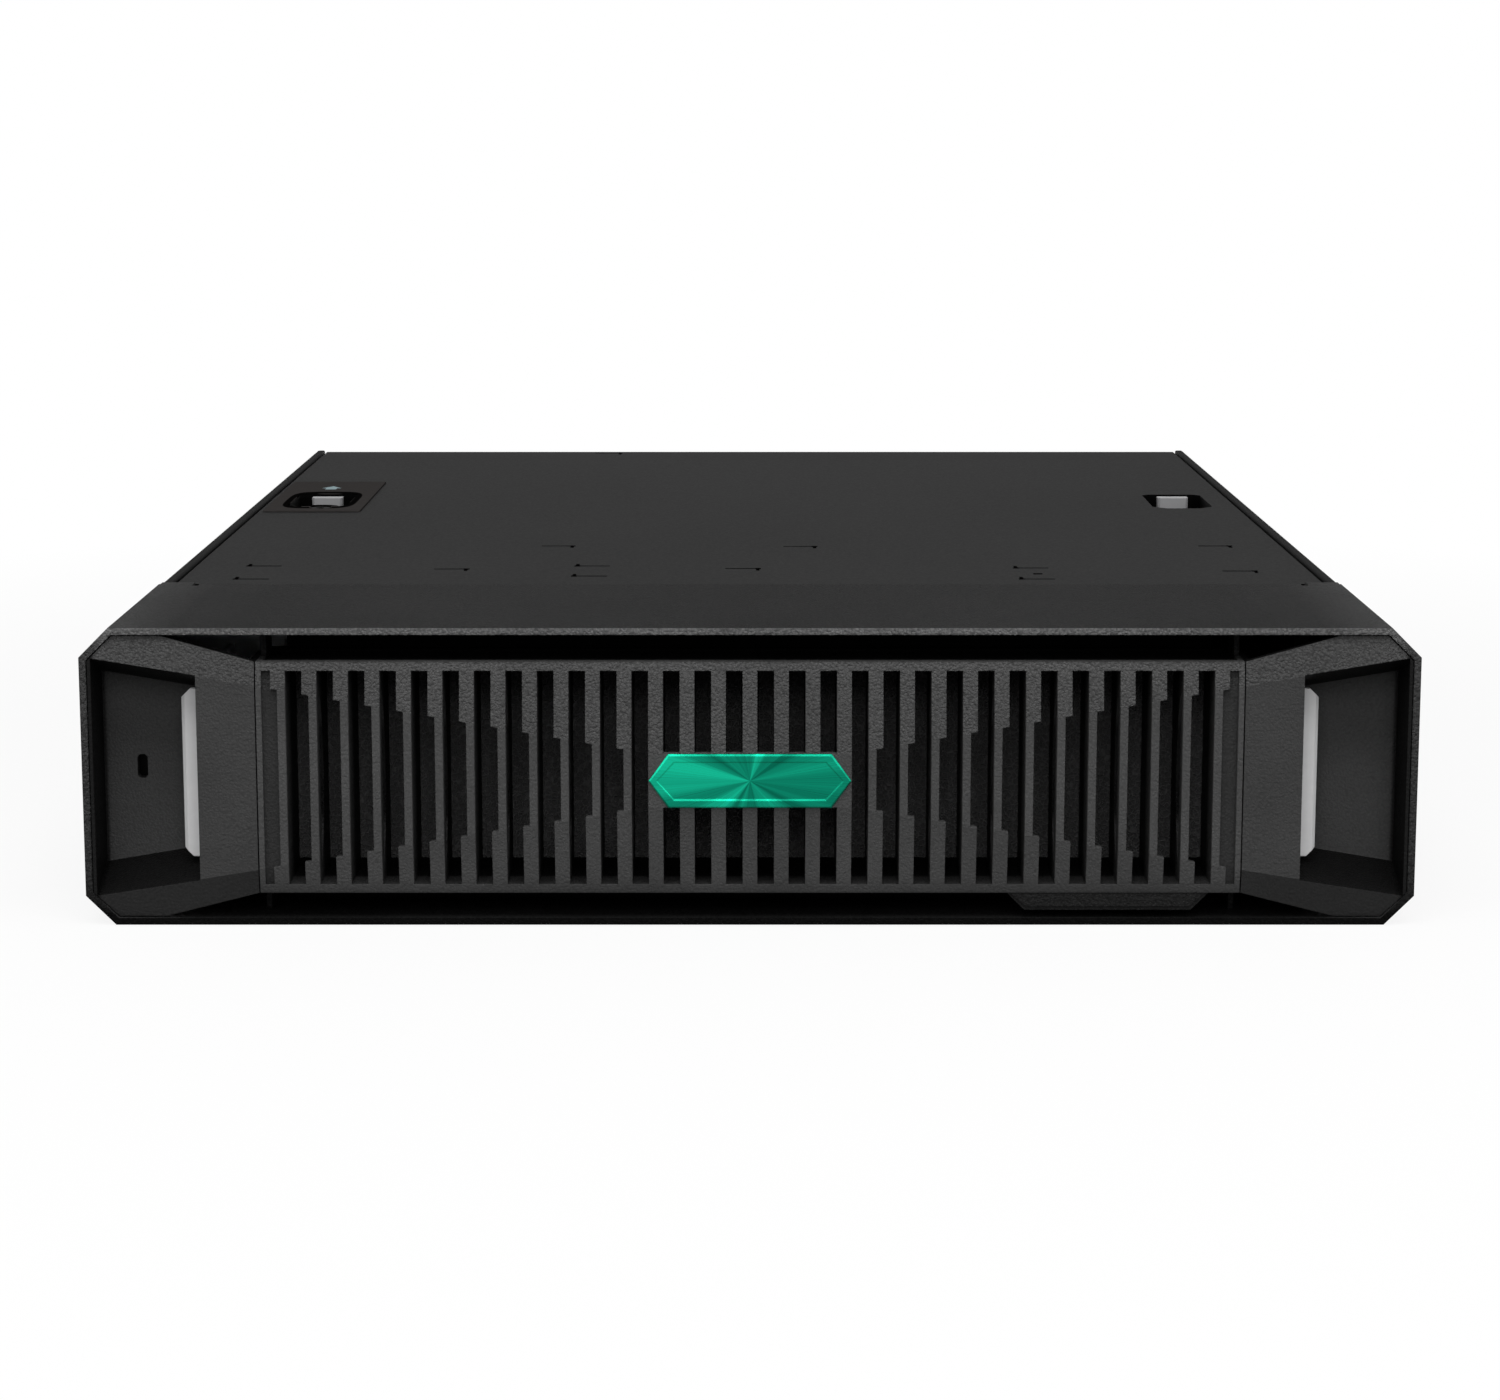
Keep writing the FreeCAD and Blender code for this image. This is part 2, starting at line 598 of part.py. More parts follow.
def filter_pads():
    y0 = depth(FIN_DEPTH)
    half_w, half_h = GRILLE_W / 2, GRILLE_H / 2
    pad = box(-half_w + FILTER_FRAME_W, -FILTER_FRAME_W / 2, y0 + 1, y0 + FILTER_T - 1,
              MID_Z - half_h + FILTER_FRAME_W, MID_Z + half_h - FILTER_FRAME_W)
    return pad, mirrored(pad)


# ---------------------------------------------------------------- chassis sheet metal
SIDE_HOLE_R = 2.2
SIDE_HOLE_BACK = 214.0                  # first hole, behind the chassis front
SIDE_HOLE_Y = 130.0                     # between the two holes
LEDGE_BACK = PSU_L + 12.0               # the flange starts behind the supplies


def chassis_tray():
    """Floor and side walls folded from one sheet, with hems along the top."""
    outline = [
        (-HALF_W, 0), (HALF_W, 0), (HALF_W, CHASSIS_H), (HALF_W - HEM_W, CHASSIS_H),
        (HALF_W - HEM_W, LEDGE_Z), (IN_W, LEDGE_Z), (IN_W, STEEL), (-IN_W, STEEL),
        (-IN_W, LEDGE_Z), (-HALF_W + HEM_W, LEDGE_Z), (-HALF_W + HEM_W, CHASSIS_H), (-HALF_W, CHASSIS_H),
    ]
    tray = prism_xz(outline, FRONT_Y, REAR_Y)
    tray = rounded(tray, BEND_R, lambda e: lengthwise(e) and abs(abs(middle(e).x) - HALF_W) < 0.01)
    tray = rounded(tray, BEND_R / 2, lambda e: lengthwise(e) and middle(e).z > CHASSIS_H - 0.01
                   and abs(abs(middle(e).x) - HALF_W + HEM_W) < 0.01)
    ledges = []
    tools = []
    tab_x = HALF_W - TAB_W - CLEAR
    for side in (-1, 1):
        x0, x1 = sorted((side * IN_W, side * (HALF_W - HEM_W - LEDGE_W)))
        ledges.append(box(x0, x1, inside(LEDGE_BACK), REAR_Y, LEDGE_Z - STEEL, LEDGE_Z))
        x0, x1 = sorted((side * tab_x, side * (HALF_W + 1)))
        tools.append(box(x0, x1, FRONT_Y - 1, inside(TAB_REACH + CLEAR),
                         CHASSIS_H - COVER_T - CLEAR, CHASSIS_H + 1))
        for back in (SIDE_HOLE_BACK, SIDE_HOLE_BACK + SIDE_HOLE_Y):
            start = (side * (IN_W - 2), inside(back), MID_Z)
            tools.append(rod(SIDE_HOLE_R, start, (side, 0, 0), 2 * SHELL + 2))
    return joined([tray] + ledges).cut(tools)


PSU_X0 = -IN_W + SHEET + 3 * CLEAR      # left side of the power supplies
PSU_X1 = PSU_X0 + PSU_W
PSU_Z = [BAY_Z + n * (PSU_H + SHEET + 2 * CLEAR) for n in range(2)]
DRIVE_X1 = IN_W - SHEET - 3 * CLEAR
DRIVE_X0 = DRIVE_X1 - DRIVE_W
DRIVE_Z = [BAY_Z + n * (DRIVE_H + SHEET + 2 * CLEAR) for n in range(DRIVE_COUNT)]
DRIVE_TOP = DRIVE_Z[-1] + DRIVE_H + CLEAR
VENT_X0 = BRACKET_X + BRACKET_W + 8.0
VENT_X1 = DRIVE_X0 - SHEET - CLEAR - 2.0
PANEL_TOP = COVER_UNDER - CLEAR
RISER_TOP = COVER_UNDER - HOOK_DROP - 2 * CLEAR
BUTTON_X = DRIVE_X0 + 8.0
BUTTON_Z = DRIVE_TOP + 10.0
BUTTON_R = 4.0
LAN_X0 = BRACKET_X
LAN_PITCH = 16.0
LAN_COUNT = 4
LAN_H = 13.4
LAN_L = 21.0
LAN_PROUD = 0.4
LAN_MOUTH = 11.8
MANAGEMENT_X0 = LAN_X0 + LAN_COUNT * LAN_PITCH + 5.0
USB_X0 = MANAGEMENT_X0 + LAN_PITCH + 6.0
USB_W = 13.4
USB_H = 5.8
USB_PITCH = 17.0
DISPLAY_X0 = USB_X0 + 2 * USB_PITCH + 3.0
DISPLAY_W = 17.0


def front_panel():
    """Bulkhead with the bays' openings, ports and intake slots."""
    y0, y1 = FRONT_Y, inside(STEEL)
    plate = box(-IN_W, IN_W, y0, y1, STEEL, PANEL_TOP)
    lip = box(-IN_W + HEM_W, IN_W - HEM_W, y0, inside(8), PANEL_TOP - STEEL, PANEL_TOP)
    keep = box(PSU_X1 + 2, DRIVE_X0 - 2, y0 - 1, inside(9), 0, CHASSIS_H)
    plate = joined([plate, lip.common(keep)])
    bay = 2 * CLEAR
    cuts = lip_notches(y0 - 1, y1 + 1) + [
        box(PSU_X0 - bay, PSU_X1 + bay, y0 - 1, y1 + 1, PSU_Z[0] - bay, PSU_Z[1] + PSU_H + bay),
        box(DRIVE_X0 - bay, DRIVE_X1 + bay, y0 - 1, y1 + 1, DRIVE_Z[0] - bay, DRIVE_TOP + bay),
        box(LAN_X0 - CLEAR, LAN_X0 + LAN_COUNT * LAN_PITCH + CLEAR, y0 - 1, y1 + 1, BOARD_Z - CLEAR,
            BOARD_Z + LAN_H + CLEAR),
        box(MANAGEMENT_X0 - CLEAR, MANAGEMENT_X0 + LAN_PITCH + CLEAR, y0 - 1, y1 + 1, BOARD_Z - CLEAR,
            BOARD_Z + LAN_H + CLEAR),
        box(DISPLAY_X0 - CLEAR, DISPLAY_X0 + DISPLAY_W + CLEAR, y0 - 1, y1 + 1, BOARD_Z - CLEAR,
            BOARD_Z + USB_H + CLEAR),
    ]
    for n in range(2):
        x = USB_X0 + n * USB_PITCH
        cuts.append(box(x - CLEAR, x + USB_W + CLEAR, y0 - 1, y1 + 1,
                        BOARD_Z - CLEAR, BOARD_Z + USB_H + CLEAR))
    for n in range(SLOT_COUNT):
        z = BRACKET_Z + n * SLOT_PITCH
        cuts.append(box(BRACKET_X + 4, BRACKET_X + BRACKET_W - 4, y0 - 1, y1 + 1,
                        z + 2.4, z + BRACKET_H - 2.4))
    cuts += vent_slots(VENT_X0, VENT_X1, BRACKET_Z + 2, PANEL_TOP - 6, y0 - 1, y1 + 1)
    cuts += vent_slots(DRIVE_X0 + 26, DRIVE_X1 - 4, DRIVE_TOP + 6, PANEL_TOP - 6, y0 - 1, y1 + 1)
    for n in range(2):
        start = (BUTTON_X, y0 - 1, BUTTON_Z + n * BUTTON_PITCH)
        cuts.append(rod(BUTTON_R + CLEAR, start, (0, 1, 0), STEEL + 2))
    return plate.cut(cuts)


def lip_notches(y0, y1):
    """Room for the cover's side lips at the top corners of an end wall."""
    notches = []
    for side in (-1, 1):
        x0, x1 = sorted((side * (COVER_HALF - COVER_T - CLEAR), side * HALF_W))
        notches.append(box(x0, x1, y0, y1, LEDGE_Z, CHASSIS_H))
    return notches


def vent_slots(x0, x1, z0, z1, y0, y1, width=5.0, pitch=8.6):
    """Row of upright slots that fills a field."""
    count = int((x1 - x0 - width) / pitch) + 1
    start = (x0 + x1 - (count - 1) * pitch) / 2
    middles = [start + n * pitch for n in range(count)]
    return [box(x - width / 2, x + width / 2, y0, y1, z0, z1) for x in middles]


def fan_x(number):
    return (number - (FAN_COUNT - 1) / 2) * FAN_PITCH


FAN_Z = FAN_BASE + FAN_SIZE / 2
FAN_Y1 = REAR_Y - STEEL
FAN_Y0 = FAN_Y1 - FAN_T


def rear_panel():
    """Exhaust wall: a round field of upright slots behind each fan."""
    y0, y1 = REAR_Y - STEEL, REAR_Y
    plate = box(-IN_W, IN_W, y0, y1, STEEL, PANEL_TOP)
    cuts = lip_notches(y0 - 1, y1 + 1)
    for side in (-1, 1):                # the flanges of the side walls pass through
        x0, x1 = sorted((side * (HALF_W - HEM_W - LEDGE_W), side * HALF_W))
        cuts.append(box(x0, x1, y0 - 1, y1 + 1, LEDGE_Z - STEEL, LEDGE_Z))
    width, pitch = 6.4, 9.8
    field_r = FAN_BORE_R - 1.5
    half_count = int(field_r / pitch)
    for n in range(FAN_COUNT):
        for k in range(-half_count, half_count + 1):
            x = fan_x(n) + k * pitch
            half = math.sqrt(field_r ** 2 - (abs(k) * pitch) ** 2)
            cuts.append(box(x - width / 2, x + width / 2, y0 - 1, y1 + 1, FAN_Z - half, FAN_Z + half))
    return plate.cut(cuts)


def fan_bracket():
    """Base plate with an upright divider on both sides of each fan."""
    depth_y = FAN_T
    plate = box(-IN_W + 2, IN_W - 2, FAN_Y1 - depth_y, FAN_Y1, STEEL, FAN_BASE)
    walls = []
    gap = FAN_PITCH - FAN_SIZE
    for n in range(FAN_COUNT + 1):
        x = fan_x(0) - FAN_PITCH / 2 + n * FAN_PITCH
        walls.append(box(x - gap / 2 + CLEAR, x + gap / 2 - CLEAR, FAN_Y1 - depth_y, FAN_Y1, FAN_BASE,
                         FAN_BASE + FAN_SIZE * 0.72))
    return joined([plate] + walls)


def ear():
    """Right side: angle that the bezel's latch nose snaps into."""
    plate = box(HALF_W, HALF_W + EAR_REACH, FRONT_Y, inside(EAR_T), MID_Z - EAR_H / 2, MID_Z + EAR_H / 2)
    leg = box(HALF_W, HALF_W + STEEL, FRONT_Y, inside(EAR_LEG), MID_Z - EAR_H / 2, MID_Z + EAR_H / 2)
    notch = box(PIVOT_X - LATCH_T / 2 - 2 * CLEAR, HALF_W + EAR_REACH + 1, FRONT_Y - 1, inside(EAR_T + CLEAR),
                MID_Z - LATCH_ARM_H / 4 - 2 * CLEAR, MID_Z + LATCH_ARM_H / 4 + 2 * CLEAR)
    return joined([plate, leg]).cut(notch)


def ear_screws():
    screws = []
    for side in (-1, 1):
        for z in (MID_Z - EAR_H / 3, MID_Z + EAR_H / 3):
            x0, x1 = sorted((side * (HALF_W + STEEL), side * (HALF_W + STEEL + SCREW_HEAD)))
            screws.append(prism_yz([(inside(EAR_LEG * 0.6) + a, z + b) for a, b in polygon(SCREW_R)], x0, x1))
    return screws


# ---------------------------------------------------------------- access panel
# Each hook is lanced from the sheet: x of its slit's left end, distance behind the
# chassis front, and the side on which its relief hole lies.
HOOKS = [
    (-162.6, 45.4, -1), (-162.6, 14.8, -1), (-102.0, 38.2, 1), (-70.6, 95.8, 1), (-56.0, 45.4, -1),
    (-56.0, 21.6, -1), (-8.0, 39.4, 1), (11.3, 94.6, 1), (86.0, 40.6, -1), (86.0, 14.8, -1),
    (151.8, 95.8, 1), (151.8, 33.4, 1), (-65.4, 400.0, 1),
]
HOOK_W = 10.5
HOOK_SLIT = 1.6
HOOK_RELIEF = 1.0
GAUGE_HOLE = (92.0, 27.6, 3.0)          # x, distance behind the chassis front, width
RECESS_X = 160.0                        # centre of each finger recess
RECESS_BACK = 226.0
RECESS_W = 22.0
RECESS_L = 44.0
RECESS_DEPTH = 10.0
RECESS_WALL = 1.2
RECESS_CORNER = 5.0
CATCH_W = 11.4
CATCH_T = 5.0
CATCH_TRAVEL = 4.0
LABEL_X0 = -178.0
LABEL_X1 = -142.6
LABEL_BACK0 = 192.8
LABEL_BACK1 = 287.0
LABEL_T = COVER_DROP
LOCK_X = -158.2
LOCK_R = 4.0
LOCK_KEY_R = 1.8        # six-sided key socket, to its corners
LOCK_BOSS_R = 7.4
LOCK_BACK = 203.0


def recess_outline(x, grow=0.0):
    """Finger recess in plan: a rectangle with long chamfers at its front corners."""
    half_w, half_l = RECESS_W / 2 + grow, RECESS_L / 2 + grow
    y = inside(RECESS_BACK)
    corner = RECESS_CORNER
    return [
        (x - half_w + corner, y - half_l), (x + half_w - corner, y - half_l),
        (x + half_w, y - half_l + corner), (x + half_w, y + half_l - corner / 2),
        (x + half_w - corner / 2, y + half_l),
        (x - half_w + corner / 2, y + half_l), (x - half_w, y + half_l - corner / 2),
        (x - half_w, y - half_l + corner),
    ]


def access_panel():
    """Top cover with folded side lips, lanced hooks and two finger recesses."""
    sheet = box(-COVER_HALF, COVER_HALF, FRONT_Y + CLEAR, REAR_Y, COVER_UNDER, COVER_TOP)
    sheet = rounded(sheet, COVER_T / 2, lambda e: lengthwise(e) and middle(e).z > COVER_TOP - 0.01)
    lips = []
    for side in (-1, 1):
        x0, x1 = sorted((side * (COVER_HALF - COVER_T), side * COVER_HALF))
        lips.append(box(x0, x1, inside(TAB_REACH + 2), REAR_Y - 3, COVER_UNDER - LIP_H, COVER_UNDER))
    hooks, cuts = [], []
    for x, back, side in HOOKS:
        y = inside(back)
        cuts.append(box(x, x + HOOK_W, y, y + HOOK_SLIT, COVER_UNDER - 1, COVER_TOP + 1))
        end = x if side < 0 else x + HOOK_W
        cuts.append(box(end - HOOK_RELIEF, end + HOOK_RELIEF,
                        y - HOOK_RELIEF / 2, y + HOOK_SLIT + HOOK_RELIEF / 2,
                        COVER_UNDER - 1, COVER_TOP + 1))
        hooks.append(box(x + 1.5, x + HOOK_W - 1.5, y + HOOK_SLIT, y + HOOK_SLIT + COVER_T,
                         COVER_UNDER - HOOK_DROP, COVER_UNDER))
    for side in (-1, 1):
        cuts.append(prism_xy(recess_outline(side * RECESS_X), COVER_UNDER - 1, COVER_TOP + 1))
        x0, x1 = sorted((side * (HALF_W - TAB_W - RELIEF_W), side * HALF_W))
        cuts.append(box(x0, x1, FRONT_Y, inside(TAB_REACH + CLEAR), COVER_UNDER - 1, COVER_TOP + 1))
    cuts.append(rod(LOCK_R + CLEAR, (LOCK_X, inside(LOCK_BACK), COVER_UNDER - 1), (0, 0, 1), COVER_T + 2))
    x, back, width = GAUGE_HOLE
    cuts.append(box(x - width / 2, x + width / 2, inside(back) - width / 2, inside(back) + width / 2,
                    COVER_UNDER - 1, COVER_TOP + 1))
    panel = joined([sheet] + lips + hooks).cut(cuts)
    return joined([panel, recess_cup(-RECESS_X, True), recess_cup(RECESS_X, False)])


def latch_label():
    """Raised plate round the left recess, with a round boss for the lock."""
    plate = box(LABEL_X0, LABEL_X1, inside(LABEL_BACK0), inside(LABEL_BACK1), COVER_TOP, COVER_TOP + LABEL_T)
    plate = plate.cut(prism_xy(recess_outline(-RECESS_X), COVER_TOP - 1, COVER_TOP + LABEL_T + 1))
    boss = rod(LOCK_BOSS_R, (LOCK_X, inside(LOCK_BACK), COVER_TOP), (0, 0, 1), LABEL_T)
    hole = rod(LOCK_R + CLEAR, (LOCK_X, inside(LOCK_BACK), COVER_TOP - 1), (0, 0, 1), LABEL_T + 2)
    return joined([plate, boss]).cut(hole)


def recess_cup(x, lock):
    """Open-topped cup under one recess; the left one also carries the lock."""
    low = COVER_UNDER - RECESS_DEPTH
    cup = prism_xy(recess_outline(x, RECESS_WALL), low, COVER_UNDER)
    hollow = prism_xy(recess_outline(x), low + RECESS_WALL, COVER_UNDER + 1)
    if not lock:
        return cup.cut(hollow)
    boss = post(LOCK_R + 2 * RECESS_WALL, LOCK_X, inside(LOCK_BACK), low, COVER_UNDER, 8)
    bore = rod(LOCK_R + RUN_FIT, (LOCK_X, inside(LOCK_BACK), low + RECESS_WALL), (0, 0, 1), RECESS_DEPTH)
    return joined([cup.cut(hollow), boss]).cut(bore)


def cover_catch(x):
    """Finger catch that stands at the rear of a recess."""
    y1 = inside(RECESS_BACK) + RECESS_L / 2 - CATCH_TRAVEL - CLEAR
    low = COVER_UNDER - RECESS_DEPTH + RECESS_WALL + CLEAR
    block = box(x - CATCH_W / 2, x + CATCH_W / 2, y1 - CATCH_T, y1, low, COVER_TOP - 0.2)
    foot = box(x - CATCH_W / 2, x + CATCH_W / 2, y1 - 2 * CATCH_T, y1, low, low + 1.6)
    block = bevelled(block, 0.8, lambda e: upright(e) and middle(e).y < y1 - CATCH_T / 2)
    return joined([block, foot])


def cover_lock():
    """Quarter-turn screw with a six-sided socket."""
    low = COVER_UNDER - RECESS_DEPTH + RECESS_WALL + CLEAR
    top = COVER_TOP + LABEL_T / 2
    body = rod(LOCK_R, (LOCK_X, inside(LOCK_BACK), low), (0, 0, 1), top - low)
    socket = [(LOCK_X + a, inside(LOCK_BACK) + b) for a, b in polygon(LOCK_KEY_R)]
    return body.cut(prism_xy(socket, top - 3, top + 1))


# ---------------------------------------------------------------- fans
def fan_ring(x, radius, y0, y1, sides):
    """Many-sided round prism on a fan's axis."""
    return prism_xz([(x + a, FAN_Z + b) for a, b in polygon(radius, sides)], y0, y1)


def fan_frame(number):
    """Square housing with a round bore and a strutted hub plate at its rear."""
    x = fan_x(number)
    half = FAN_SIZE / 2
    body = box(x - half, x + half, FAN_Y0, FAN_Y1, FAN_BASE, FAN_BASE + FAN_SIZE)
    body = bevelled(body, 3.0, lengthwise)
    bore = fan_ring(x, FAN_BORE_R, FAN_Y0 - 1, FAN_Y1 + 1, BORE_SIDES)
    waist = []
    for side in (-1, 1):
        x0, x1 = sorted((x + side * (half - WAIST_D), x + side * (half + 1)))
        waist.append(box(x0, x1, FAN_Y0 + WAIST_FLANGE, FAN_Y1 - WAIST_FLANGE,
                         FAN_BASE - 1, FAN_BASE + FAN_SIZE + 1))
    struts = []
    for n in range(4):
        strut = box(x, x + FAN_BORE_R + 0.5, FAN_Y1 - HUB_PLATE_T, FAN_Y1 - 1, FAN_Z - 1.4, FAN_Z + 1.4)
        strut.rotate(V(x, 0, FAN_Z), V(0, 1, 0), 45 + 90 * n)
        struts.append(strut)
    plate = fan_ring(x, HUB_R, FAN_Y1 - HUB_PLATE_T, FAN_Y1, HUB_SIDES)
    tube_l = FAN_T * 0.4
    tube = fan_ring(x, 2 * SHAFT_R + RUN_FIT, FAN_Y1 - tube_l, FAN_Y1 - HUB_PLATE_T, 6)
    hole = rod(SHAFT_R + RUN_FIT, (x, FAN_Y1 - tube_l - 1, FAN_Z), (0, 1, 0), tube_l)
    return joined([body.cut([bore] + waist), plate, tube] + struts).cut(hole)


def fan_blade(x, angle):
    """One pitched blade, from inside the hub to just short of the bore."""
    root_r, tip_r = HUB_R - 1, FAN_BORE_R - TIP_GAP
    swing = BLADE_CHORD / 2 * math.cos(math.radians(BLADE_PITCH)) + BLADE_T
    reach = math.sqrt(tip_r ** 2 - swing ** 2)
    mid = (FAN_Y0 + FAN_Y1 - HUB_PLATE_T) / 2
    blade = box(root_r, reach, mid - BLADE_T / 2, mid + BLADE_T / 2, -BLADE_CHORD / 2, BLADE_CHORD / 2)
    blade.rotate(V(0, mid, 0), V(1, 0, 0), BLADE_PITCH)
    blade.rotate(V(0, 0, 0), V(0, 1, 0), angle)
    blade.translate(V(x, 0, FAN_Z))
    return blade


def fan_rotor(number):
    """Cup-shaped hub with its blades, on a shaft that runs in the frame's tube."""
    x = fan_x(number)
    front, back = FAN_Y0 + 2, FAN_Y1 - HUB_PLATE_T - 1
    hub = fan_ring(x, HUB_R, front, back, HUB_SIDES)
    hub = bevelled(hub, 1.6, lambda e: e.BoundBox.YMax < front + 0.01)
    hollow = fan_ring(x, HUB_R - 2, front + 3, back + 1, HUB_SIDES)
    shaft = rod(SHAFT_R, (x, front + 2, FAN_Z), (0, 1, 0), FAN_T - 6)
    blades = [fan_blade(x, 360.0 * n / BLADE_COUNT) for n in range(BLADE_COUNT)]
    return joined([joined([hub] + blades).cut(hollow), shaft])


# ---------------------------------------------------------------- power supplies
def psu_cage():
    """Sheet channel with a shelf, open at the front."""
    length = PSU_L + 4
    walls = []
    x0, x1 = PSU_X0 - CLEAR - SHEET, PSU_X1 + CLEAR + SHEET
    z0, z1 = STEEL, PSU_Z[1] + PSU_H + CLEAR + SHEET
    shell = box(x0, x1, inside(STEEL), inside(length), z0, z1)
    for n in range(2):
        z = PSU_Z[n]
        walls.append(box(PSU_X0 - CLEAR, PSU_X1 + CLEAR, inside(STEEL) - 1, inside(length) + 1, z - CLEAR,
                         z + PSU_H + CLEAR))
    return shell.cut(walls)


def psu_case(number):
    """Power supply: case, inlet, exhaust slots and a fixed loop handle."""
    z = PSU_Z[number]
    y0 = FRONT_Y - 1.0
    case = box(PSU_X0, PSU_X1, y0, inside(PSU_L), z, z + PSU_H)
    inlet_x = PSU_X0 + 17.0
    mid = z + PSU_H / 2
    socket = [
        (inlet_x - 12, mid - 8), (inlet_x + 12, mid - 8), (inlet_x + 12, mid + 4),
        (inlet_x + 8, mid + 8), (inlet_x - 8, mid + 8), (inlet_x - 12, mid + 4),
    ]
    cuts = [prism_xz(socket, y0 - 1, y0 + INLET_DEPTH)]
    cuts += vent_slots(PSU_X0 + 33, PSU_X1 - 12, z + 9, z + PSU_H - 9, y0 - 1, y0 + 3)
    case = case.cut(cuts)
    pins = []
    for dx, dz in ((-7, -2), (0, 2), (7, -2)):
        pins.append(box(inlet_x + dx - 1, inlet_x + dx + 1, y0 + PIN_SET_BACK, y0 + INLET_DEPTH + 1,
                        mid + dz - 2, mid + dz + 2))
    handle_x = PSU_X0 + 51.0
    low, high = z + 4.0, z + PSU_H - 4.0
    out, corner, bar = y0 - HANDLE_REACH, HANDLE_CORNER, HANDLE_BAR
    outer = [(y0, low), (out + corner, low), (out, low + corner), (out, high - corner), (out + corner, high),
             (y0, high)]
    inner = [(y0, low + bar), (out + corner + bar / 2, low + bar), (out + bar, low + corner + bar / 2),
             (out + bar, high - corner - bar / 2), (out + corner + bar / 2, high - bar), (y0, high - bar)]
    x0, x1 = handle_x - HANDLE_T / 2, handle_x + HANDLE_T / 2
    handle = prism_yz(outer, x0, x1).cut(prism_yz(inner, x0 - 1, x1 + 1))
    return joined([case, handle] + pins)


def psu_release(number):
    """Sprung release tab at the right of a supply's front."""
    z = PSU_Z[number] + PSU_H / 2
    x1 = PSU_X1 - 1.5
    y1 = FRONT_Y - 1.0 - CLEAR
    pad = box(x1 - 8, x1 - 2, y1 - 9, y1, z - 9, z + 9)
    return bevelled(pad, 1.2, lambda e: upright(e) and middle(e).y < y1 - 8)


def power_backplane():
    z1 = PSU_Z[1] + PSU_H
    y = inside(PSU_L + 4)
    board = box(PSU_X0, PSU_X1, y, y + BOARD_T, STEEL, z1)
    sockets = [box(PSU_X0 + 12, PSU_X1 - 12, y - 4 + CLEAR, y, PSU_Z[n] + 6, PSU_Z[n] + 14) for n in range(2)]
    return joined([board] + sockets)


# ---------------------------------------------------------------- drives
def drive_cage():
    length = DRIVE_L + 2
    x0, x1 = DRIVE_X0 - CLEAR - SHEET, DRIVE_X1 + CLEAR + SHEET
    shell = box(x0, x1, inside(STEEL), inside(length), STEEL, DRIVE_TOP + SHEET)
    bays = [box(DRIVE_X0 - CLEAR, DRIVE_X1 + CLEAR, inside(STEEL) - 1, inside(length) + 1, z - CLEAR,
                z + DRIVE_H + CLEAR) for z in DRIVE_Z]
    return shell.cut(bays)


def drive_carrier(number):
    """Drive in its carrier, with a vented front and two lever ears."""
    z = DRIVE_Z[number]
    y0 = FRONT_Y - 6.0
    drive = box(DRIVE_X0 + 2, DRIVE_X1 - 2, inside(6), inside(DRIVE_L - 6), z + 2, z + DRIVE_H - 1)
    rails = []
    for x in (DRIVE_X0, DRIVE_X1 - CARRIER_RAIL):
        rails.append(box(x, x + CARRIER_RAIL, inside(0), inside(DRIVE_L), z, z + DRIVE_H - 4))
    face = box(DRIVE_X0, DRIVE_X1, FRONT_Y - 2, inside(6), z, z + DRIVE_H)
    cuts = vent_slots(DRIVE_X0 + 54, DRIVE_X1 - 4, z + 3, z + DRIVE_H - 3, FRONT_Y - 3, inside(2), 2.6, 5.4)
    px, py = DRIVE_X0 + 5.0, FRONT_Y - 4.2
    ears = [box(px - 3, px + 3, y0 - 1, FRONT_Y - 2, z + dz, z + dz + 1.6) for dz in (1.2, DRIVE_H - 2.8)]
    pin = rod(1.0, (px, py, z + 1.2), (0, 0, 1), DRIVE_H - 2.4)
    return joined([face.cut(cuts), drive] + rails + ears + [pin])


def drive_lever(number):
    """Ejector lever on the carrier's pin."""
    z = DRIVE_Z[number]
    px, py = DRIVE_X0 + 5.0, FRONT_Y - 4.2
    z0, z1 = z + 1.2 + 1.6 + CLEAR, z + DRIVE_H - 2.8 - CLEAR
    bar = box(px, px + LEVER_LENGTH, py - 1.6, py - 1.6 + LEVER_T, z0, z1)
    bar = bevelled(bar, 1.2, lambda e: upright(e) and middle(e).x > px + LEVER_LENGTH - 1)
    eye = post(2.2, px, py, z0, z1, 8)
    bore = rod(1.0 + RUN_FIT, (px, py, z0 - 1), (0, 0, 1), z1 - z0 + 2)
    return joined([bar, eye]).cut(bore)


def drive_backplane():
    y = inside(DRIVE_L + 2)
    board = box(DRIVE_X0, DRIVE_X1, y, y + BOARD_T, STEEL, DRIVE_TOP)
    plugs = [box(DRIVE_X0 + 18, DRIVE_X1 - 18, y - 2 + CLEAR, y, z + 4, z + 9) for z in DRIVE_Z]
    cable_socket = box(DRIVE_X0 + 26, DRIVE_X0 + 48, y + BOARD_T, y + BOARD_T + 7,
                       DRIVE_TOP - 14, DRIVE_TOP - 6)
    return joined([board] + plugs + [cable_socket])


# ---------------------------------------------------------------- expansion slots
RISER_X = BRACKET_X + BRACKET_W + 2.0
RISER_BACK = 150.0


def slot_covers():
    covers = []
    for n in range(SLOT_COUNT):
        z = BRACKET_Z + n * SLOT_PITCH
        plate = box(BRACKET_X, BRACKET_X + BRACKET_W, FRONT_Y - BRACKET_T, FRONT_Y, z, z + BRACKET_H)
        windows = vent_slots(BRACKET_X + 12, BRACKET_X + BRACKET_W - 6, z + 5, z + BRACKET_H - 5,
                             FRONT_Y - 2, FRONT_Y + 1, 13.0, 16.6)
        covers.append(plate.cut(windows))
    return covers


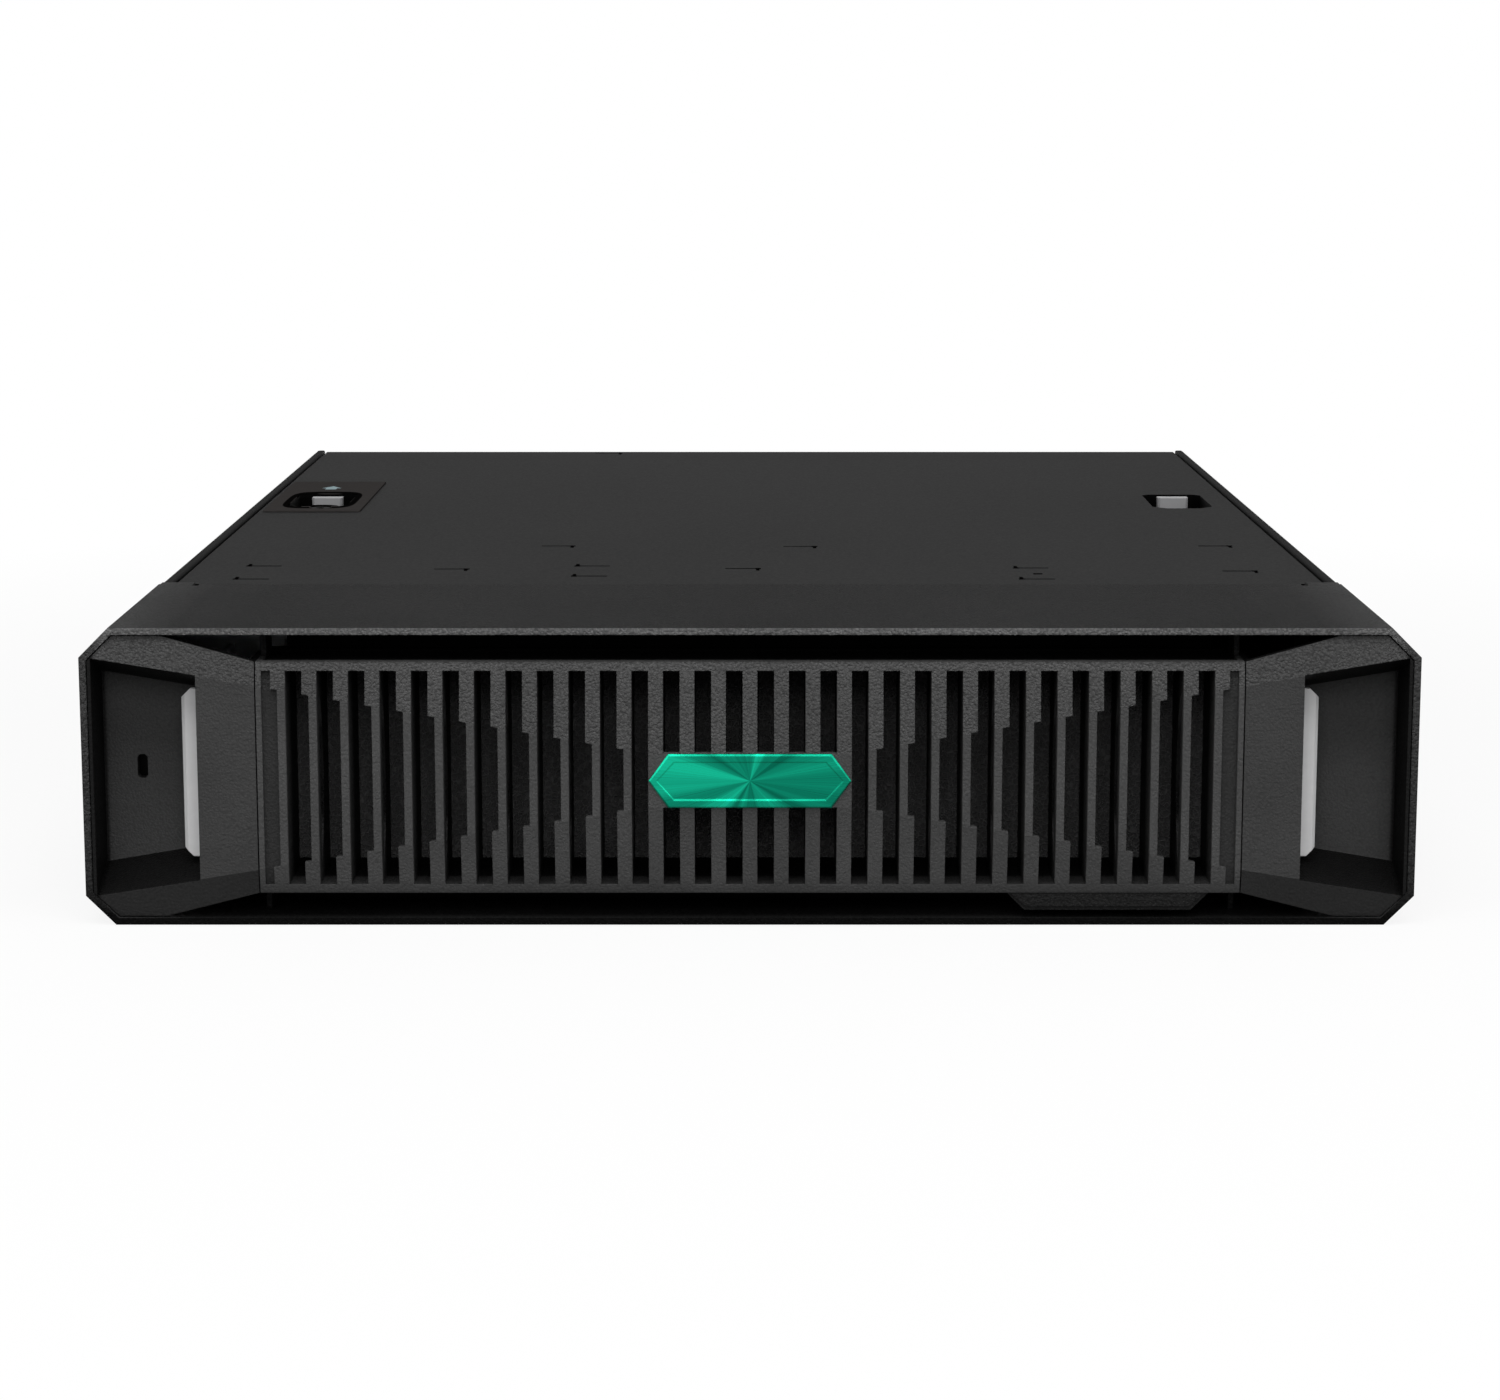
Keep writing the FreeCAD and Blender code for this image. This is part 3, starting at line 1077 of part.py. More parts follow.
def slot_screws():
    screws = []
    for n in range(SLOT_COUNT):
        z = BRACKET_Z + n * SLOT_PITCH + BRACKET_H / 2
        head = [(BRACKET_X + 5.5 + a, z + b) for a, b in polygon(SCREW_R)]
        screws.append(prism_xz(head, FRONT_Y - BRACKET_T - SCREW_HEAD, FRONT_Y - BRACKET_T))
    return screws


def riser_cage():
    """Sheet bridge over the expansion slots."""
    top = RISER_TOP
    x0, x1 = BRACKET_X - 3, RISER_X + BOARD_T + 3
    plate = box(x0, x1, inside(STEEL), inside(RISER_BACK + 12), top - SHEET, top)
    left = box(x0, x0 + SHEET, inside(STEEL), inside(RISER_BACK + 12), BOARD_Z + LAN_H + 2, top)
    right = box(x1 - SHEET, x1, inside(STEEL), inside(RISER_BACK + 12), BOARD_Z, top)
    feet = box(x1 - SHEET, x1 + 8, inside(RISER_BACK - 10), inside(RISER_BACK + 12), BOARD_Z, BOARD_Z + SHEET)
    leg = box(x0, x0 + SHEET, inside(RISER_BACK), inside(RISER_BACK + 12), BOARD_Z, BOARD_Z + LAN_H + 2)
    return joined([plate, left, right, feet, leg])


RISER_SOCKET_H = 11.0


def riser_card():
    """Upright board in its edge socket, with one socket for each card."""
    top = RISER_TOP - SHEET - 1
    socket_h = RISER_SOCKET_H
    board = box(RISER_X, RISER_X + BOARD_T, inside(20), inside(RISER_BACK), BOARD_Z + socket_h, top)
    foot = box(RISER_X - 2.8, RISER_X + BOARD_T + 1.2, inside(24), inside(RISER_BACK - 14),
               BOARD_Z, BOARD_Z + socket_h)
    sockets = [board, foot]
    for n in range(SLOT_COUNT):
        z = BRACKET_Z + n * SLOT_PITCH + BRACKET_H / 2
        base = box(RISER_X - 10, RISER_X, inside(34), inside(123), z - 3.7, z + 3.7)
        slit = box(RISER_X - 11, RISER_X - 3, inside(36), inside(121), z - 0.9, z + 0.9)
        sockets.append(base.cut(slit))
    return joined(sockets)


# ---------------------------------------------------------------- main board
def main_board():
    outline = [
        (BOARD_X0, inside(BOARD_FRONT)), (VENT_X1, inside(BOARD_FRONT)), (VENT_X1, inside(BOARD_WING)),
        (BOARD_X1, inside(BOARD_WING)), (BOARD_X1, inside(BOARD_LENGTH)), (BOARD_X0, inside(BOARD_LENGTH)),
    ]
    return prism_xy(outline, BOARD_Z - BOARD_T, BOARD_Z)


def board_points():
    """Where the board is screwed down."""
    return [
        (BOARD_X0 + 6, 60), (VENT_X1 - 6, 60), (BOARD_X0 + 6, 180), (VENT_X1 - 6, 176), (BOARD_X1 - 6, 150),
        (BOARD_X0 + 6, 330), (BOARD_X1 - 6, 330), (CPU_X - 40, 330), (CPU_X + 60, 330),
    ]


def board_standoffs():
    return [post(SCREW_R, x, inside(b), STEEL, STEEL + STANDOFF_H) for x, b in board_points()]


def board_screws():
    return [post(SCREW_R, x, inside(b), BOARD_Z, BOARD_Z + SCREW_HEAD) for x, b in board_points()]


def cpu_carrier():
    y = inside(CPU_BACK)
    frame = box(CPU_X - 42, CPU_X + 42, y - 36, y + 36, BOARD_Z, BOARD_Z + 3)
    lid = box(CPU_X - 28, CPU_X + 28, y - 26, y + 26, BOARD_Z + 3, BOARD_Z + 6)
    return joined([frame, lid])


def heat_sink():
    """Base block with straight fins along the airflow."""
    y0, y1 = inside(CPU_BACK) - SINK_L / 2, inside(CPU_BACK) + SINK_L / 2
    z0 = BOARD_Z + 6
    base = box(CPU_X - SINK_W / 2, CPU_X + SINK_W / 2, y0, y1, z0, z0 + 6)
    step = (SINK_W - SINK_FIN_T) / (SINK_FINS - 1)
    lefts = [CPU_X - SINK_W / 2 + n * step for n in range(SINK_FINS)]
    fins = [box(x, x + SINK_FIN_T, y0, y1, z0 + 6, z0 + SINK_H) for x in lefts]
    return joined([base] + fins)


def dimm_slots():
    """X of every memory socket: one bank on each side of the heat sink."""
    left = CPU_X - SINK_W / 2 - 12
    right = CPU_X + SINK_W / 2 + 12
    steps = [n * DIMM_PITCH for n in range(DIMM_PER_BANK)]
    return [left - step for step in steps] + [right + step for step in steps]


def dimm_sockets():
    y = inside(CPU_BACK)
    sockets = []
    for x in dimm_slots():
        body = box(x - 3.2, x + 3.2, y - DIMM_L / 2 - 4, y + DIMM_L / 2 + 4, BOARD_Z, BOARD_Z + 6)
        catches = []
        for end in (y - DIMM_L / 2 - 2.4, y + DIMM_L / 2 + 2.4):
            catches.append(box(x - 2.6, x + 2.6, end - 1.8, end + 1.8, BOARD_Z + 6, BOARD_Z + 20))
        groove = box(x - 0.8, x + 0.8, y - DIMM_L / 2 - 0.1, y + DIMM_L / 2 + 0.1,
                     BOARD_Z + DIMM_SEAT, BOARD_Z + 21)
        sockets.append(joined([body] + catches).cut(groove))
    return sockets


def memory_modules():
    y = inside(CPU_BACK)
    modules = []
    for x in dimm_slots():
        board = box(x - 0.6, x + 0.6, y - DIMM_L / 2, y + DIMM_L / 2,
                    BOARD_Z + DIMM_SEAT, BOARD_Z + DIMM_SEAT + DIMM_H)
        spreader = box(x - 1.7, x + 1.7, y - DIMM_L / 2 + 4, y + DIMM_L / 2 - 4,
                       BOARD_Z + 11, BOARD_Z + DIMM_H)
        modules.append(joined([board, spreader]))
    return modules


def lan_block(x0, count):
    """Ganged network sockets, open to the front."""
    block = box(x0, x0 + count * LAN_PITCH, FRONT_Y - LAN_PROUD, inside(LAN_L), BOARD_Z, BOARD_Z + LAN_H)
    middles = [x0 + (n + 0.5) * LAN_PITCH for n in range(count)]
    holes = [box(x - LAN_MOUTH / 2, x + LAN_MOUTH / 2, FRONT_Y - 2, inside(14), BOARD_Z + 2.4, BOARD_Z + 10.8)
             for x in middles]
    return block.cut(holes)


def usb_ports():
    ports = []
    for n in range(2):
        x = USB_X0 + n * USB_PITCH
        shell = box(x, x + USB_W, FRONT_Y - LAN_PROUD, inside(14), BOARD_Z, BOARD_Z + USB_H)
        mouth = box(x + 0.4, x + USB_W - 0.4, FRONT_Y - 2, inside(11), BOARD_Z + 0.4, BOARD_Z + USB_H - 0.4)
        tongue = box(x + 1, x + USB_W - 1, inside(0.5), inside(12), BOARD_Z + 2.9, BOARD_Z + 4.8)
        ports.append(joined([shell.cut(mouth), tongue]))
    return ports


def display_port():
    shell = box(DISPLAY_X0, DISPLAY_X0 + DISPLAY_W, FRONT_Y - LAN_PROUD, inside(14), BOARD_Z, BOARD_Z + USB_H)
    mouth = box(DISPLAY_X0 + 0.5, DISPLAY_X0 + DISPLAY_W - 0.5, FRONT_Y - 2, inside(10), BOARD_Z + 0.5,
                BOARD_Z + USB_H - 0.5)
    tongue = box(DISPLAY_X0 + 2.5, DISPLAY_X0 + DISPLAY_W - 2.5, inside(0.8), inside(12),
                 BOARD_Z + 2.2, BOARD_Z + 3.4)
    return joined([shell.cut(mouth), tongue])


BUTTON_PITCH = 14.0
BUTTON_TRAVEL = 1.2
BUTTON_PROUD = 1.6
COLLAR_T = 0.8
SWITCH_T = 1.2
SWITCH_BACK = STEEL + CLEAR + COLLAR_T + BUTTON_TRAVEL + CLEAR + SWITCH_T


def control_board():
    """Small board behind the buttons."""
    y = inside(SWITCH_BACK)
    board = box(BUTTON_X - 8, BUTTON_X + 12, y, y + BOARD_T, DRIVE_TOP + SHEET, BUTTON_Z + 26)
    heights = [BUTTON_Z + n * BUTTON_PITCH for n in range(2)]
    switches = [box(BUTTON_X - 3, BUTTON_X + 3, y - SWITCH_T, y, z - 3, z + 3) for z in heights]
    return joined([board] + switches)


def button(number):
    """Round push button with a collar that holds it behind the panel."""
    z = BUTTON_Z + number * BUTTON_PITCH
    collar = COLLAR_T
    length = BUTTON_PROUD + STEEL + CLEAR + collar
    cap = rod(BUTTON_R, (BUTTON_X, FRONT_Y - BUTTON_PROUD, z), (0, 1, 0), length)
    y = inside(STEEL + CLEAR)
    ring = prism_xz([(BUTTON_X + a, z + b) for a, b in polygon(BUTTON_R + 1.4)], y, y + collar)
    return joined([cap, ring])


def board_chokes():
    y = inside(CPU_BACK)
    rows = []
    for n in range(6):
        for s in (-1, 1):
            x = CPU_X - 35 + n * 14
            rows.append(box(x - 3.6, x + 3.6, y + s * 56 - 3.6, y + s * 56 + 3.6, BOARD_Z, BOARD_Z + 7))
    return rows


def board_capacitors():
    y = inside(CPU_BACK - 74)
    return [post(3.8, CPU_X - 38 + n * 11, y, BOARD_Z, BOARD_Z + 9.5) for n in range(6)]


def small_sink():
    """Pin-fin sink on the management chip."""
    y = inside(60)
    base = box(VENT_X0 + 14, VENT_X0 + 50, y - 18, y + 18, BOARD_Z, BOARD_Z + 3)
    lefts = [VENT_X0 + 14 + n * 5.85 for n in range(7)]
    fins = [box(x, x + 0.9, y - 18, y + 18, BOARD_Z + 3, BOARD_Z + 13) for x in lefts]
    return joined([base] + fins)


def coin_cell():
    x, y = BOARD_X1 - 24, inside(BOARD_WING + 70)
    holder = post(12.6, x, y, BOARD_Z, BOARD_Z + 2.4, 8)
    cell = post(10.0, x, y, BOARD_Z + 2.4, BOARD_Z + 5.6, 16)
    return joined([holder, cell])


def boot_module():
    """Flash module on its edge socket and post."""
    x, y = BOARD_X1 - 58, inside(BOARD_WING + 20)
    card = box(x, x + 22, y, y + 80, BOARD_Z + 3.0, BOARD_Z + 3.8)
    starts = [y + 12 + n * 22 for n in range(3)]
    chips = [box(x + 3, x + 19, start, start + 16, BOARD_Z + 3.8, BOARD_Z + 5.2) for start in starts]
    socket = box(x, x + 22, y - 5, y, BOARD_Z, BOARD_Z + 5)
    foot = post(2.6, x + 11, y + 76, BOARD_Z, BOARD_Z + 3.0)
    return joined([card, socket, foot] + chips)


def fan_headers():
    y = inside(BOARD_LENGTH - 6)
    middles = [fan_x(n) - 20 for n in range(1, FAN_COUNT)]
    return [box(x - 6, x + 6, y - 4, y + 4, BOARD_Z, BOARD_Z + 8) for x in middles]


# ---------------------------------------------------------------- all nodes
def main():
    os.makedirs("parts", exist_ok=True)
    grip = hand_grip()
    latch = bezel_latch()
    pin = latch_pin()
    bracket = ear()
    save("bezel_shroud", bezel_shroud())
    save("bezel_grille", bezel_grille())
    save("grip_right", grip)
    save("grip_left", left_grip())
    save("lock_plate", lock_plate())
    save("badge_plate", badge_plate())
    save("name_tab", name_tab())
    save("latch_right", latch)
    save("latch_left", mirrored(latch))
    save("latch_pins", pin, mirrored(pin))
    save("filter_frame", filter_frame())
    save("filter_pads", *filter_pads())
    save("chassis_tray", chassis_tray())
    save("front_panel", front_panel())
    save("rear_panel", rear_panel())
    save("fan_bracket", fan_bracket())
    save("bezel_ears", bracket, mirrored(bracket))
    save("screws", *ear_screws(), *slot_screws(), *board_screws())
    save("access_panel", access_panel())
    save("latch_label", latch_label())
    save("cover_catch_left", cover_catch(-RECESS_X))
    save("cover_catch_right", cover_catch(RECESS_X))
    save("cover_lock", cover_lock())
    for n in range(FAN_COUNT):
        save(f"fan_frame_{n + 1}", fan_frame(n))
        save(f"fan_rotor_{n + 1}", fan_rotor(n))
    save("psu_cage", psu_cage())
    save("power_backplane", power_backplane())
    for n in range(2):
        save(f"psu_{n + 1}", psu_case(n))
        save(f"psu_release_{n + 1}", psu_release(n))
    save("drive_cage", drive_cage())
    save("drive_backplane", drive_backplane())
    for n in range(DRIVE_COUNT):
        save(f"drive_{n + 1}", drive_carrier(n))
        save(f"drive_lever_{n + 1}", drive_lever(n))
    save("slot_covers", *slot_covers())
    save("riser_cage", riser_cage())
    save("riser_card", riser_card())
    save("main_board", main_board())
    save("board_standoffs", *board_standoffs())
    save("cpu_carrier", cpu_carrier())
    save("heat_sink", heat_sink())
    save("dimm_sockets", *dimm_sockets())
    save("memory_modules", *memory_modules())
    save("lan_ports", lan_block(LAN_X0, LAN_COUNT), lan_block(MANAGEMENT_X0, 1))
    save("usb_ports", *usb_ports(), display_port())
    save("control_board", control_board())
    save("power_button", button(1))
    save("locator_button", button(0))
    save("power_stage", *board_chokes(), *board_capacitors(), *fan_headers())
    save("small_sink", small_sink())
    save("board_modules", coin_cell(), boot_module())


main()
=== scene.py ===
# %% [markdown]
# # Dressing a two-unit rack server
# The server's construction arrives as a fixed frame: every sheet, moulding, fan and latch
# is already at its real size and place, in metres, with +Z up and the bezel facing -Y.
# This lesson gives each piece its finish, models the small things that sheet metal
# drawings leave out, and sets up a studio that shows it all.

# %% Load the frame
import json
import math
import random

import bmesh
import bpy
from mathutils import Matrix, Vector
from mathutils.bvhtree import BVHTree


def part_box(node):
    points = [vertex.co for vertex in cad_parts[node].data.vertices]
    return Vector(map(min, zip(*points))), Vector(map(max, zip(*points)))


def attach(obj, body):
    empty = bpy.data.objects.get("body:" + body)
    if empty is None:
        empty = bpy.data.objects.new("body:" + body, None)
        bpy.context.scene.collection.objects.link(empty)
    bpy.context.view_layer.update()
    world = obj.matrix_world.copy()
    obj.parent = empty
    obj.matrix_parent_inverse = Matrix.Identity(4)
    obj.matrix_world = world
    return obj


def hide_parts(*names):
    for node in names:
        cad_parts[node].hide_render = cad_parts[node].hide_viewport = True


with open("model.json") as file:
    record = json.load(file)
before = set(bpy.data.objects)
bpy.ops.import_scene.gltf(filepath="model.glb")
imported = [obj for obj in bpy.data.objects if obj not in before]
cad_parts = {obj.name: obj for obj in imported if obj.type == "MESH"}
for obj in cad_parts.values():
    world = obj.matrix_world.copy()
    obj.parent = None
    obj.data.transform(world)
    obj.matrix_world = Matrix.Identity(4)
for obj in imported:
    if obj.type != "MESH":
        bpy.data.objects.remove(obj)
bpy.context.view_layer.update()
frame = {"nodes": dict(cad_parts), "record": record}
random.seed(7)

# %% [markdown]
# ## Places that the lesson measures from
# Nothing is typed in twice: the places come from the boxes of the pieces themselves. The
# shroud's front edge is the rim of the bezel, and the tray gives the chassis.

# %% Measure the frame
shroud_low, shroud_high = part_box("bezel_shroud")
tray_low, tray_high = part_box("chassis_tray")
RIM_Y = shroud_low.y
BEZEL_HALF = shroud_high.x
CHASSIS_FRONT = tray_low.y
CHASSIS_TOP = tray_high.z
COVER_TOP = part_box("access_panel")[1].z
UP = Vector((0, 0, 1))
print("rim", round(RIM_Y, 4), "chassis", round(CHASSIS_FRONT, 4), "to", round(tray_high.y, 4))

# %% [markdown]
# ## The camera
# The portrait of a server is taken from a metre in front of it with a long lens, a little
# above, so that the front stays square and the top still shows. A lens of 85 mm on the
# usual 36 mm sensor does it. Depth of field stays off.

# %% Place the camera
CAMERA_BACK = 1.0038
CAMERA_HEIGHT = 0.2417
CAMERA_PITCH = math.radians(9.897)

camera_data = bpy.data.cameras.new("portrait_camera")
camera_data.lens = 85.0
camera_data.sensor_width = 36.0
camera_data.clip_start = 0.01
camera = bpy.data.objects.new("portrait_camera", camera_data)
camera.location = (0, RIM_Y - CAMERA_BACK, CAMERA_HEIGHT)
camera.rotation_euler = (math.pi / 2 - CAMERA_PITCH, 0, 0)
bpy.context.scene.collection.objects.link(camera)
bpy.context.scene.camera = camera
bpy.context.scene.view_settings.view_transform = "Standard"
print("camera", [round(c, 3) for c in camera.location])

# %% [markdown]
# ## Light and floor
# Dark plastic shows its shape only through broad soft highlights. One large softbox hangs
# above and a little in front, so the upward facets of the grille read lighter than the
# downward ones. Two tall strips at the sides catch the hand grips, a broad one in front
# opens the pockets, and a low one behind shows the fans. The world is white for the eye
# and for reflections, and dimmer as a source of light.

# %% Build the studio
WORLD_LIGHT = 0.22
FLOOR_SIZE = 12.0


def area_light(name, size, watts, place, aim):
    data = bpy.data.lights.new(name, "AREA")
    data.shape = "RECTANGLE"
    data.size, data.size_y = size
    data.energy = watts
    lamp = bpy.data.objects.new(name, data)
    lamp.location = place
    lamp.visible_camera = False
    lamp.rotation_euler = (Vector(aim) - Vector(place)).to_track_quat("-Z", "Y").to_euler()
    bpy.context.scene.collection.objects.link(lamp)


def eye_rays(tree):
    """One for rays that end in the eye, straight or mirrored, and nought for the rest."""
    rays = tree.nodes.new("ShaderNodeLightPath").outputs
    seen = rays["Is Camera Ray"]
    for kind in ("Is Glossy Ray", "Is Transmission Ray"):
        larger = tree.nodes.new("ShaderNodeMath")
        larger.operation = "MAXIMUM"
        tree.links.new(seen, larger.inputs[0])
        tree.links.new(rays[kind], larger.inputs[1])
        seen = larger.outputs["Value"]
    return seen


area_light("top_softbox", (1.8, 0.8), 26, (0, -1.0, 1.7), (0, -0.15, 0.05))
area_light("left_strip", (0.5, 1.0), 3, (-1.4, -0.5, 0.7), (0, -0.1, 0.05))
area_light("right_strip", (0.5, 1.0), 4, (1.4, -0.5, 0.7), (0, -0.1, 0.05))
area_light("front_fill", (1.6, 0.8), 14, (0, -2.2, 1.1), (0, -0.2, 0.05))
area_light("rear_strip", (1.2, 0.06), 5, (0, 1.35, 0.045), (0, 0.25, 0.045))

world = bpy.data.worlds.new("studio")
world.use_nodes = True
bpy.context.scene.world = world
sky = world.node_tree
shades = [sky.nodes["Background"], sky.nodes.new("ShaderNodeBackground")]
blend = sky.nodes.new("ShaderNodeMixShader")
sky.links.new(eye_rays(sky), blend.inputs["Fac"])
for place, (shade, strength) in enumerate(zip(shades, (WORLD_LIGHT, 1.0)), start=1):
    shade.inputs["Color"].default_value = (1, 1, 1, 1)
    shade.inputs["Strength"].default_value = strength
    sky.links.new(shade.outputs[0], blend.inputs[place])
sky.links.new(blend.outputs[0], sky.nodes["World Output"].inputs["Surface"])

floor_mesh = bmesh.new()
bmesh.ops.create_grid(floor_mesh, x_segments=1, y_segments=1, size=FLOOR_SIZE / 2)
floor_data = bpy.data.meshes.new("floor")
floor_mesh.to_mesh(floor_data)
floor_mesh.free()
floor = bpy.data.objects.new("floor", floor_data)
bpy.context.scene.collection.objects.link(floor)

# %% [markdown]
# ## A few helpers for materials
# Each finish is a Principled shader fed by noise in Object coordinates. The pieces sit
# at the origin with their place in the mesh, so one metre of the pattern is one metre of
# the server and the grain keeps its real size on every piece.

# %% Material helpers
SOCKETS = {"colour": "Base Color", "rough": "Roughness", "metal": "Metallic", "normal": "Normal",
           "specular": "Specular IOR Level", "coat": "Coat Weight"}


class Finish:
    """A node material with short calls for the nodes that the finishes share."""

    def __init__(self, name):
        self.material = bpy.data.materials.new(name)
        self.material.use_nodes = True
        self.tree = self.material.node_tree
        self.shader = self.tree.nodes["Principled BSDF"]
        self.coords = self.tree.nodes.new("ShaderNodeTexCoord").outputs["Object"]

    def feed(self, socket, value):
        """Links a socket to another, or sets it; a grey or a colour gets its alpha."""
        if isinstance(value, bpy.types.NodeSocket):
            self.tree.links.new(value, socket)
        elif isinstance(value, tuple) and len(value) == 3 and socket.type == "RGBA":
            socket.default_value = (*value, 1)
        else:
            socket.default_value = value

    def add(self, kind, inputs=None, **settings):
        made = self.tree.nodes.new(kind)
        for key, value in settings.items():
            setattr(made, key, value)
        for key, value in (inputs or {}).items():
            self.feed(made.inputs[key], value)
        return made

    def noise(self, grain, detail, stretch=None, where=None):
        """Noise whose bumps are about grain metres apart, stretched if asked."""
        if where is None:
            where = self.coords
        if stretch:
            where = self.add("ShaderNodeMapping", {"Vector": where, "Scale": stretch})
            where = where.outputs["Vector"]
        inputs = {"Vector": where, "Scale": 1 / grain, "Detail": detail, "Roughness": 0.5}
        return self.add("ShaderNodeTexNoise", inputs).outputs["Fac"]

    def cells(self, grain, feature="F1"):
        inputs = {"Vector": self.coords, "Scale": 1 / grain}
        return self.add("ShaderNodeTexVoronoi", inputs, feature=feature).outputs["Distance"]

    def ramp(self, factor, *stops):
        """Colour ramp: stops are (position, grey or colour)."""
        made = self.add("ShaderNodeValToRGB", {"Fac": factor})
        points = made.color_ramp.elements
        while len(points) < len(stops):
            points.new(0.5)
        for point, (place, colour) in zip(points, stops):
            point.position = place
            point.color = (*(colour if isinstance(colour, tuple) else grey(colour)), 1)
        return made.outputs["Color"]

    def mix(self, factor, a, b, how="MIX"):
        inputs = {0: factor, 6: a, 7: b}
        return self.add("ShaderNodeMix", inputs, data_type="RGBA", blend_type=how).outputs[2]

    def dim(self, a, b):
        """One colour multiplied by another."""
        return self.mix(1.0, a, b, "MULTIPLY")

    def mottled(self, factor, level):
        """A grey that wanders by an eighth either way."""
        return self.ramp(factor, (0.3, level * 0.88), (0.7, level * 1.12))

    def math(self, operation, a, b=0.0, c=0.0):
        return self.add("ShaderNodeMath", {0: a, 1: b, 2: c}, operation=operation).outputs["Value"]

    def vector(self, operation, a, b=(0, 0, 0)):
        made = self.add("ShaderNodeVectorMath", {0: a, 1: b}, operation=operation)
        return made.outputs["Value" if operation == "LENGTH" else "Vector"]

    def part_of(self, vector, axis):
        """One coordinate of a vector."""
        return self.add("ShaderNodeSeparateXYZ", {"Vector": vector}).outputs[axis]

    def share(self, axis, length):
        """How far along an axis, as a share of a length."""
        return self.math("DIVIDE", self.part_of(self.coords, axis), length)

    def outward(self):
        """How far from the middle towards the bezel's sides, from 0 to 1."""
        return self.math("ABSOLUTE", self.share("X", BEZEL_HALF))

    def facing(self, axis):
        """How far the surface faces along an axis, from -1 to 1."""
        return self.part_of(self.add("ShaderNodeNewGeometry").outputs["Normal"], axis)

    def bump(self, height, depth, strength=1.0, corner=None):
        """Relief. A corner lets light roll over edges as on a part with that radius."""
        inputs = {"Height": height, "Distance": depth, "Strength": strength}
        if corner:
            rounded = self.add("ShaderNodeBevel", {"Radius": corner}, samples=4)
            inputs["Normal"] = rounded.outputs["Normal"]
        return self.add("ShaderNodeBump", inputs).outputs["Normal"]

    def set(self, **values):
        for key, value in values.items():
            self.feed(self.shader.inputs[SOCKETS[key]], value)
        return self


def grey(level):
    return (level, level, level)


def scaled(colour, share):
    """A colour made lighter or darker, up to white."""
    return tuple(min(1, part * share) for part in colour)


# %% [markdown]
# ## Charcoal moulded plastic
# The bezel is glass-filled plastic from a spark-eroded mould. Such a mould leaves a
# pebbled skin: rounded grains under a millimetre across, with finer tooth on top. Cells
# give the pebbles, noise breaks them up, and the edges get a small radius. The colour
# also carries painted light and shade: on the rim and top, in the cups, in the grille's
# recesses, and partly as sparkle in the pebbles' speckle.

# %% Bezel plastic
PEBBLE = 0.0007
PEBBLE_DEPTH = 0.0010
MEAN_RELIEF = 0.49
# Painted pools of light across the bezel's top, by distance from the middle, brightest at the ends
# where the light rakes.
PAINTED_TOP_POOLS = ((0.0, 0.034), (0.39, 0.046), (0.76, 0.033), (0.86, 0.052), (0.93, 0.14), (1.0, 0.26))
# Where the grille's painted depth shade starts, and the depth over which it runs.
GRILLE_START = RIM_Y - 0.001
GRILLE_REACH = 1 / 60


def pebbled_plastic(name, level, specular, rough=(0.46, 0.66), corner=0.0004, shade=None,
                    painted_sparkle_up=False):
    """Spark-eroded skin. Shade multiplies in painted light and shade. With the last flag, faces
    that look down lose the pebbles and turn a flat, slightly darker tone as painted shade, and
    faces that look up keep them, partly as painted sparkle.
    """
    finish = Finish(name)
    tooth = finish.noise(PEBBLE * 0.45, 2.0)
    relief = finish.mix(0.42, finish.cells(PEBBLE, "SMOOTH_F1"), tooth)
    # Painted light: faces that look down lose the pebble speckle and turn a touch darker; faces
    # that look up keep it.
    if painted_sparkle_up:
        upturned = finish.ramp(finish.facing("Z"), (0.02, 0.35), (0.13, 1.0))
        relief = finish.mix(upturned, grey(MEAN_RELIEF), relief)
    tint = finish.mottled(finish.noise(0.035, 3.0), level)
    # The colour follows the pebbles: partly their own tone, partly painted sparkle where light
    # catches them.
    tint = finish.dim(tint, finish.ramp(relief, (0.26, 1.34), (0.62, 0.72)))
    if shade:
        tint = finish.dim(tint, shade(finish))
    gloss = finish.ramp(tooth, (0.3, rough[0]), (0.7, rough[1]))
    normal = finish.bump(relief, PEBBLE_DEPTH, corner=corner)
    return finish.set(colour=tint, rough=gloss, specular=specular, normal=normal)


def painted_rim_light_shade(finish):
    """Painted light and shade: the rim is lighter towards the top and darker downwards and at its
    ends; the other faces, mostly the top, get painted pools of light, brightest at the ends.
    """
    ahead = finish.math("MULTIPLY", finish.facing("Y"), -1.0)
    forward = finish.ramp(ahead, (0.70, 0.0), (0.85, 1.0))
    rim = finish.ramp(finish.share("Z", CHASSIS_TOP), (0.04, 0.015), (0.16, 0.40), (0.90, 0.72))
    outward = finish.outward()
    rim = finish.dim(rim, finish.ramp(outward, (0.960, 1.0), (0.980, 0.42)))
    return finish.mix(forward, finish.ramp(outward, *PAINTED_TOP_POOLS), rim)


def painted_cup_shade(finish):
    """Painted shade: the cups' upper, lower and side walls go nearly black, faces that look down
    are darker and facets that look up lighter, and the grips darken beyond their outer edge.
    """
    up = finish.math("MULTIPLY_ADD", finish.facing("Z"), 0.5, 0.5)
    tilt = finish.ramp(up, (0.06, 0.03), (0.20, 0.10), (0.42, 0.45), (0.48, 1.0), (0.54, 1.0),
                       (0.60, 1.35), (0.80, 1.0), (0.92, 0.05))
    side = finish.ramp(finish.math("ABSOLUTE", finish.facing("X")), (0.75, 1.0), (0.92, 0.30))
    border = finish.ramp(finish.outward(), (0.976, 1.0), (0.979, 0.12))
    return finish.dim(tilt, finish.dim(side, border))


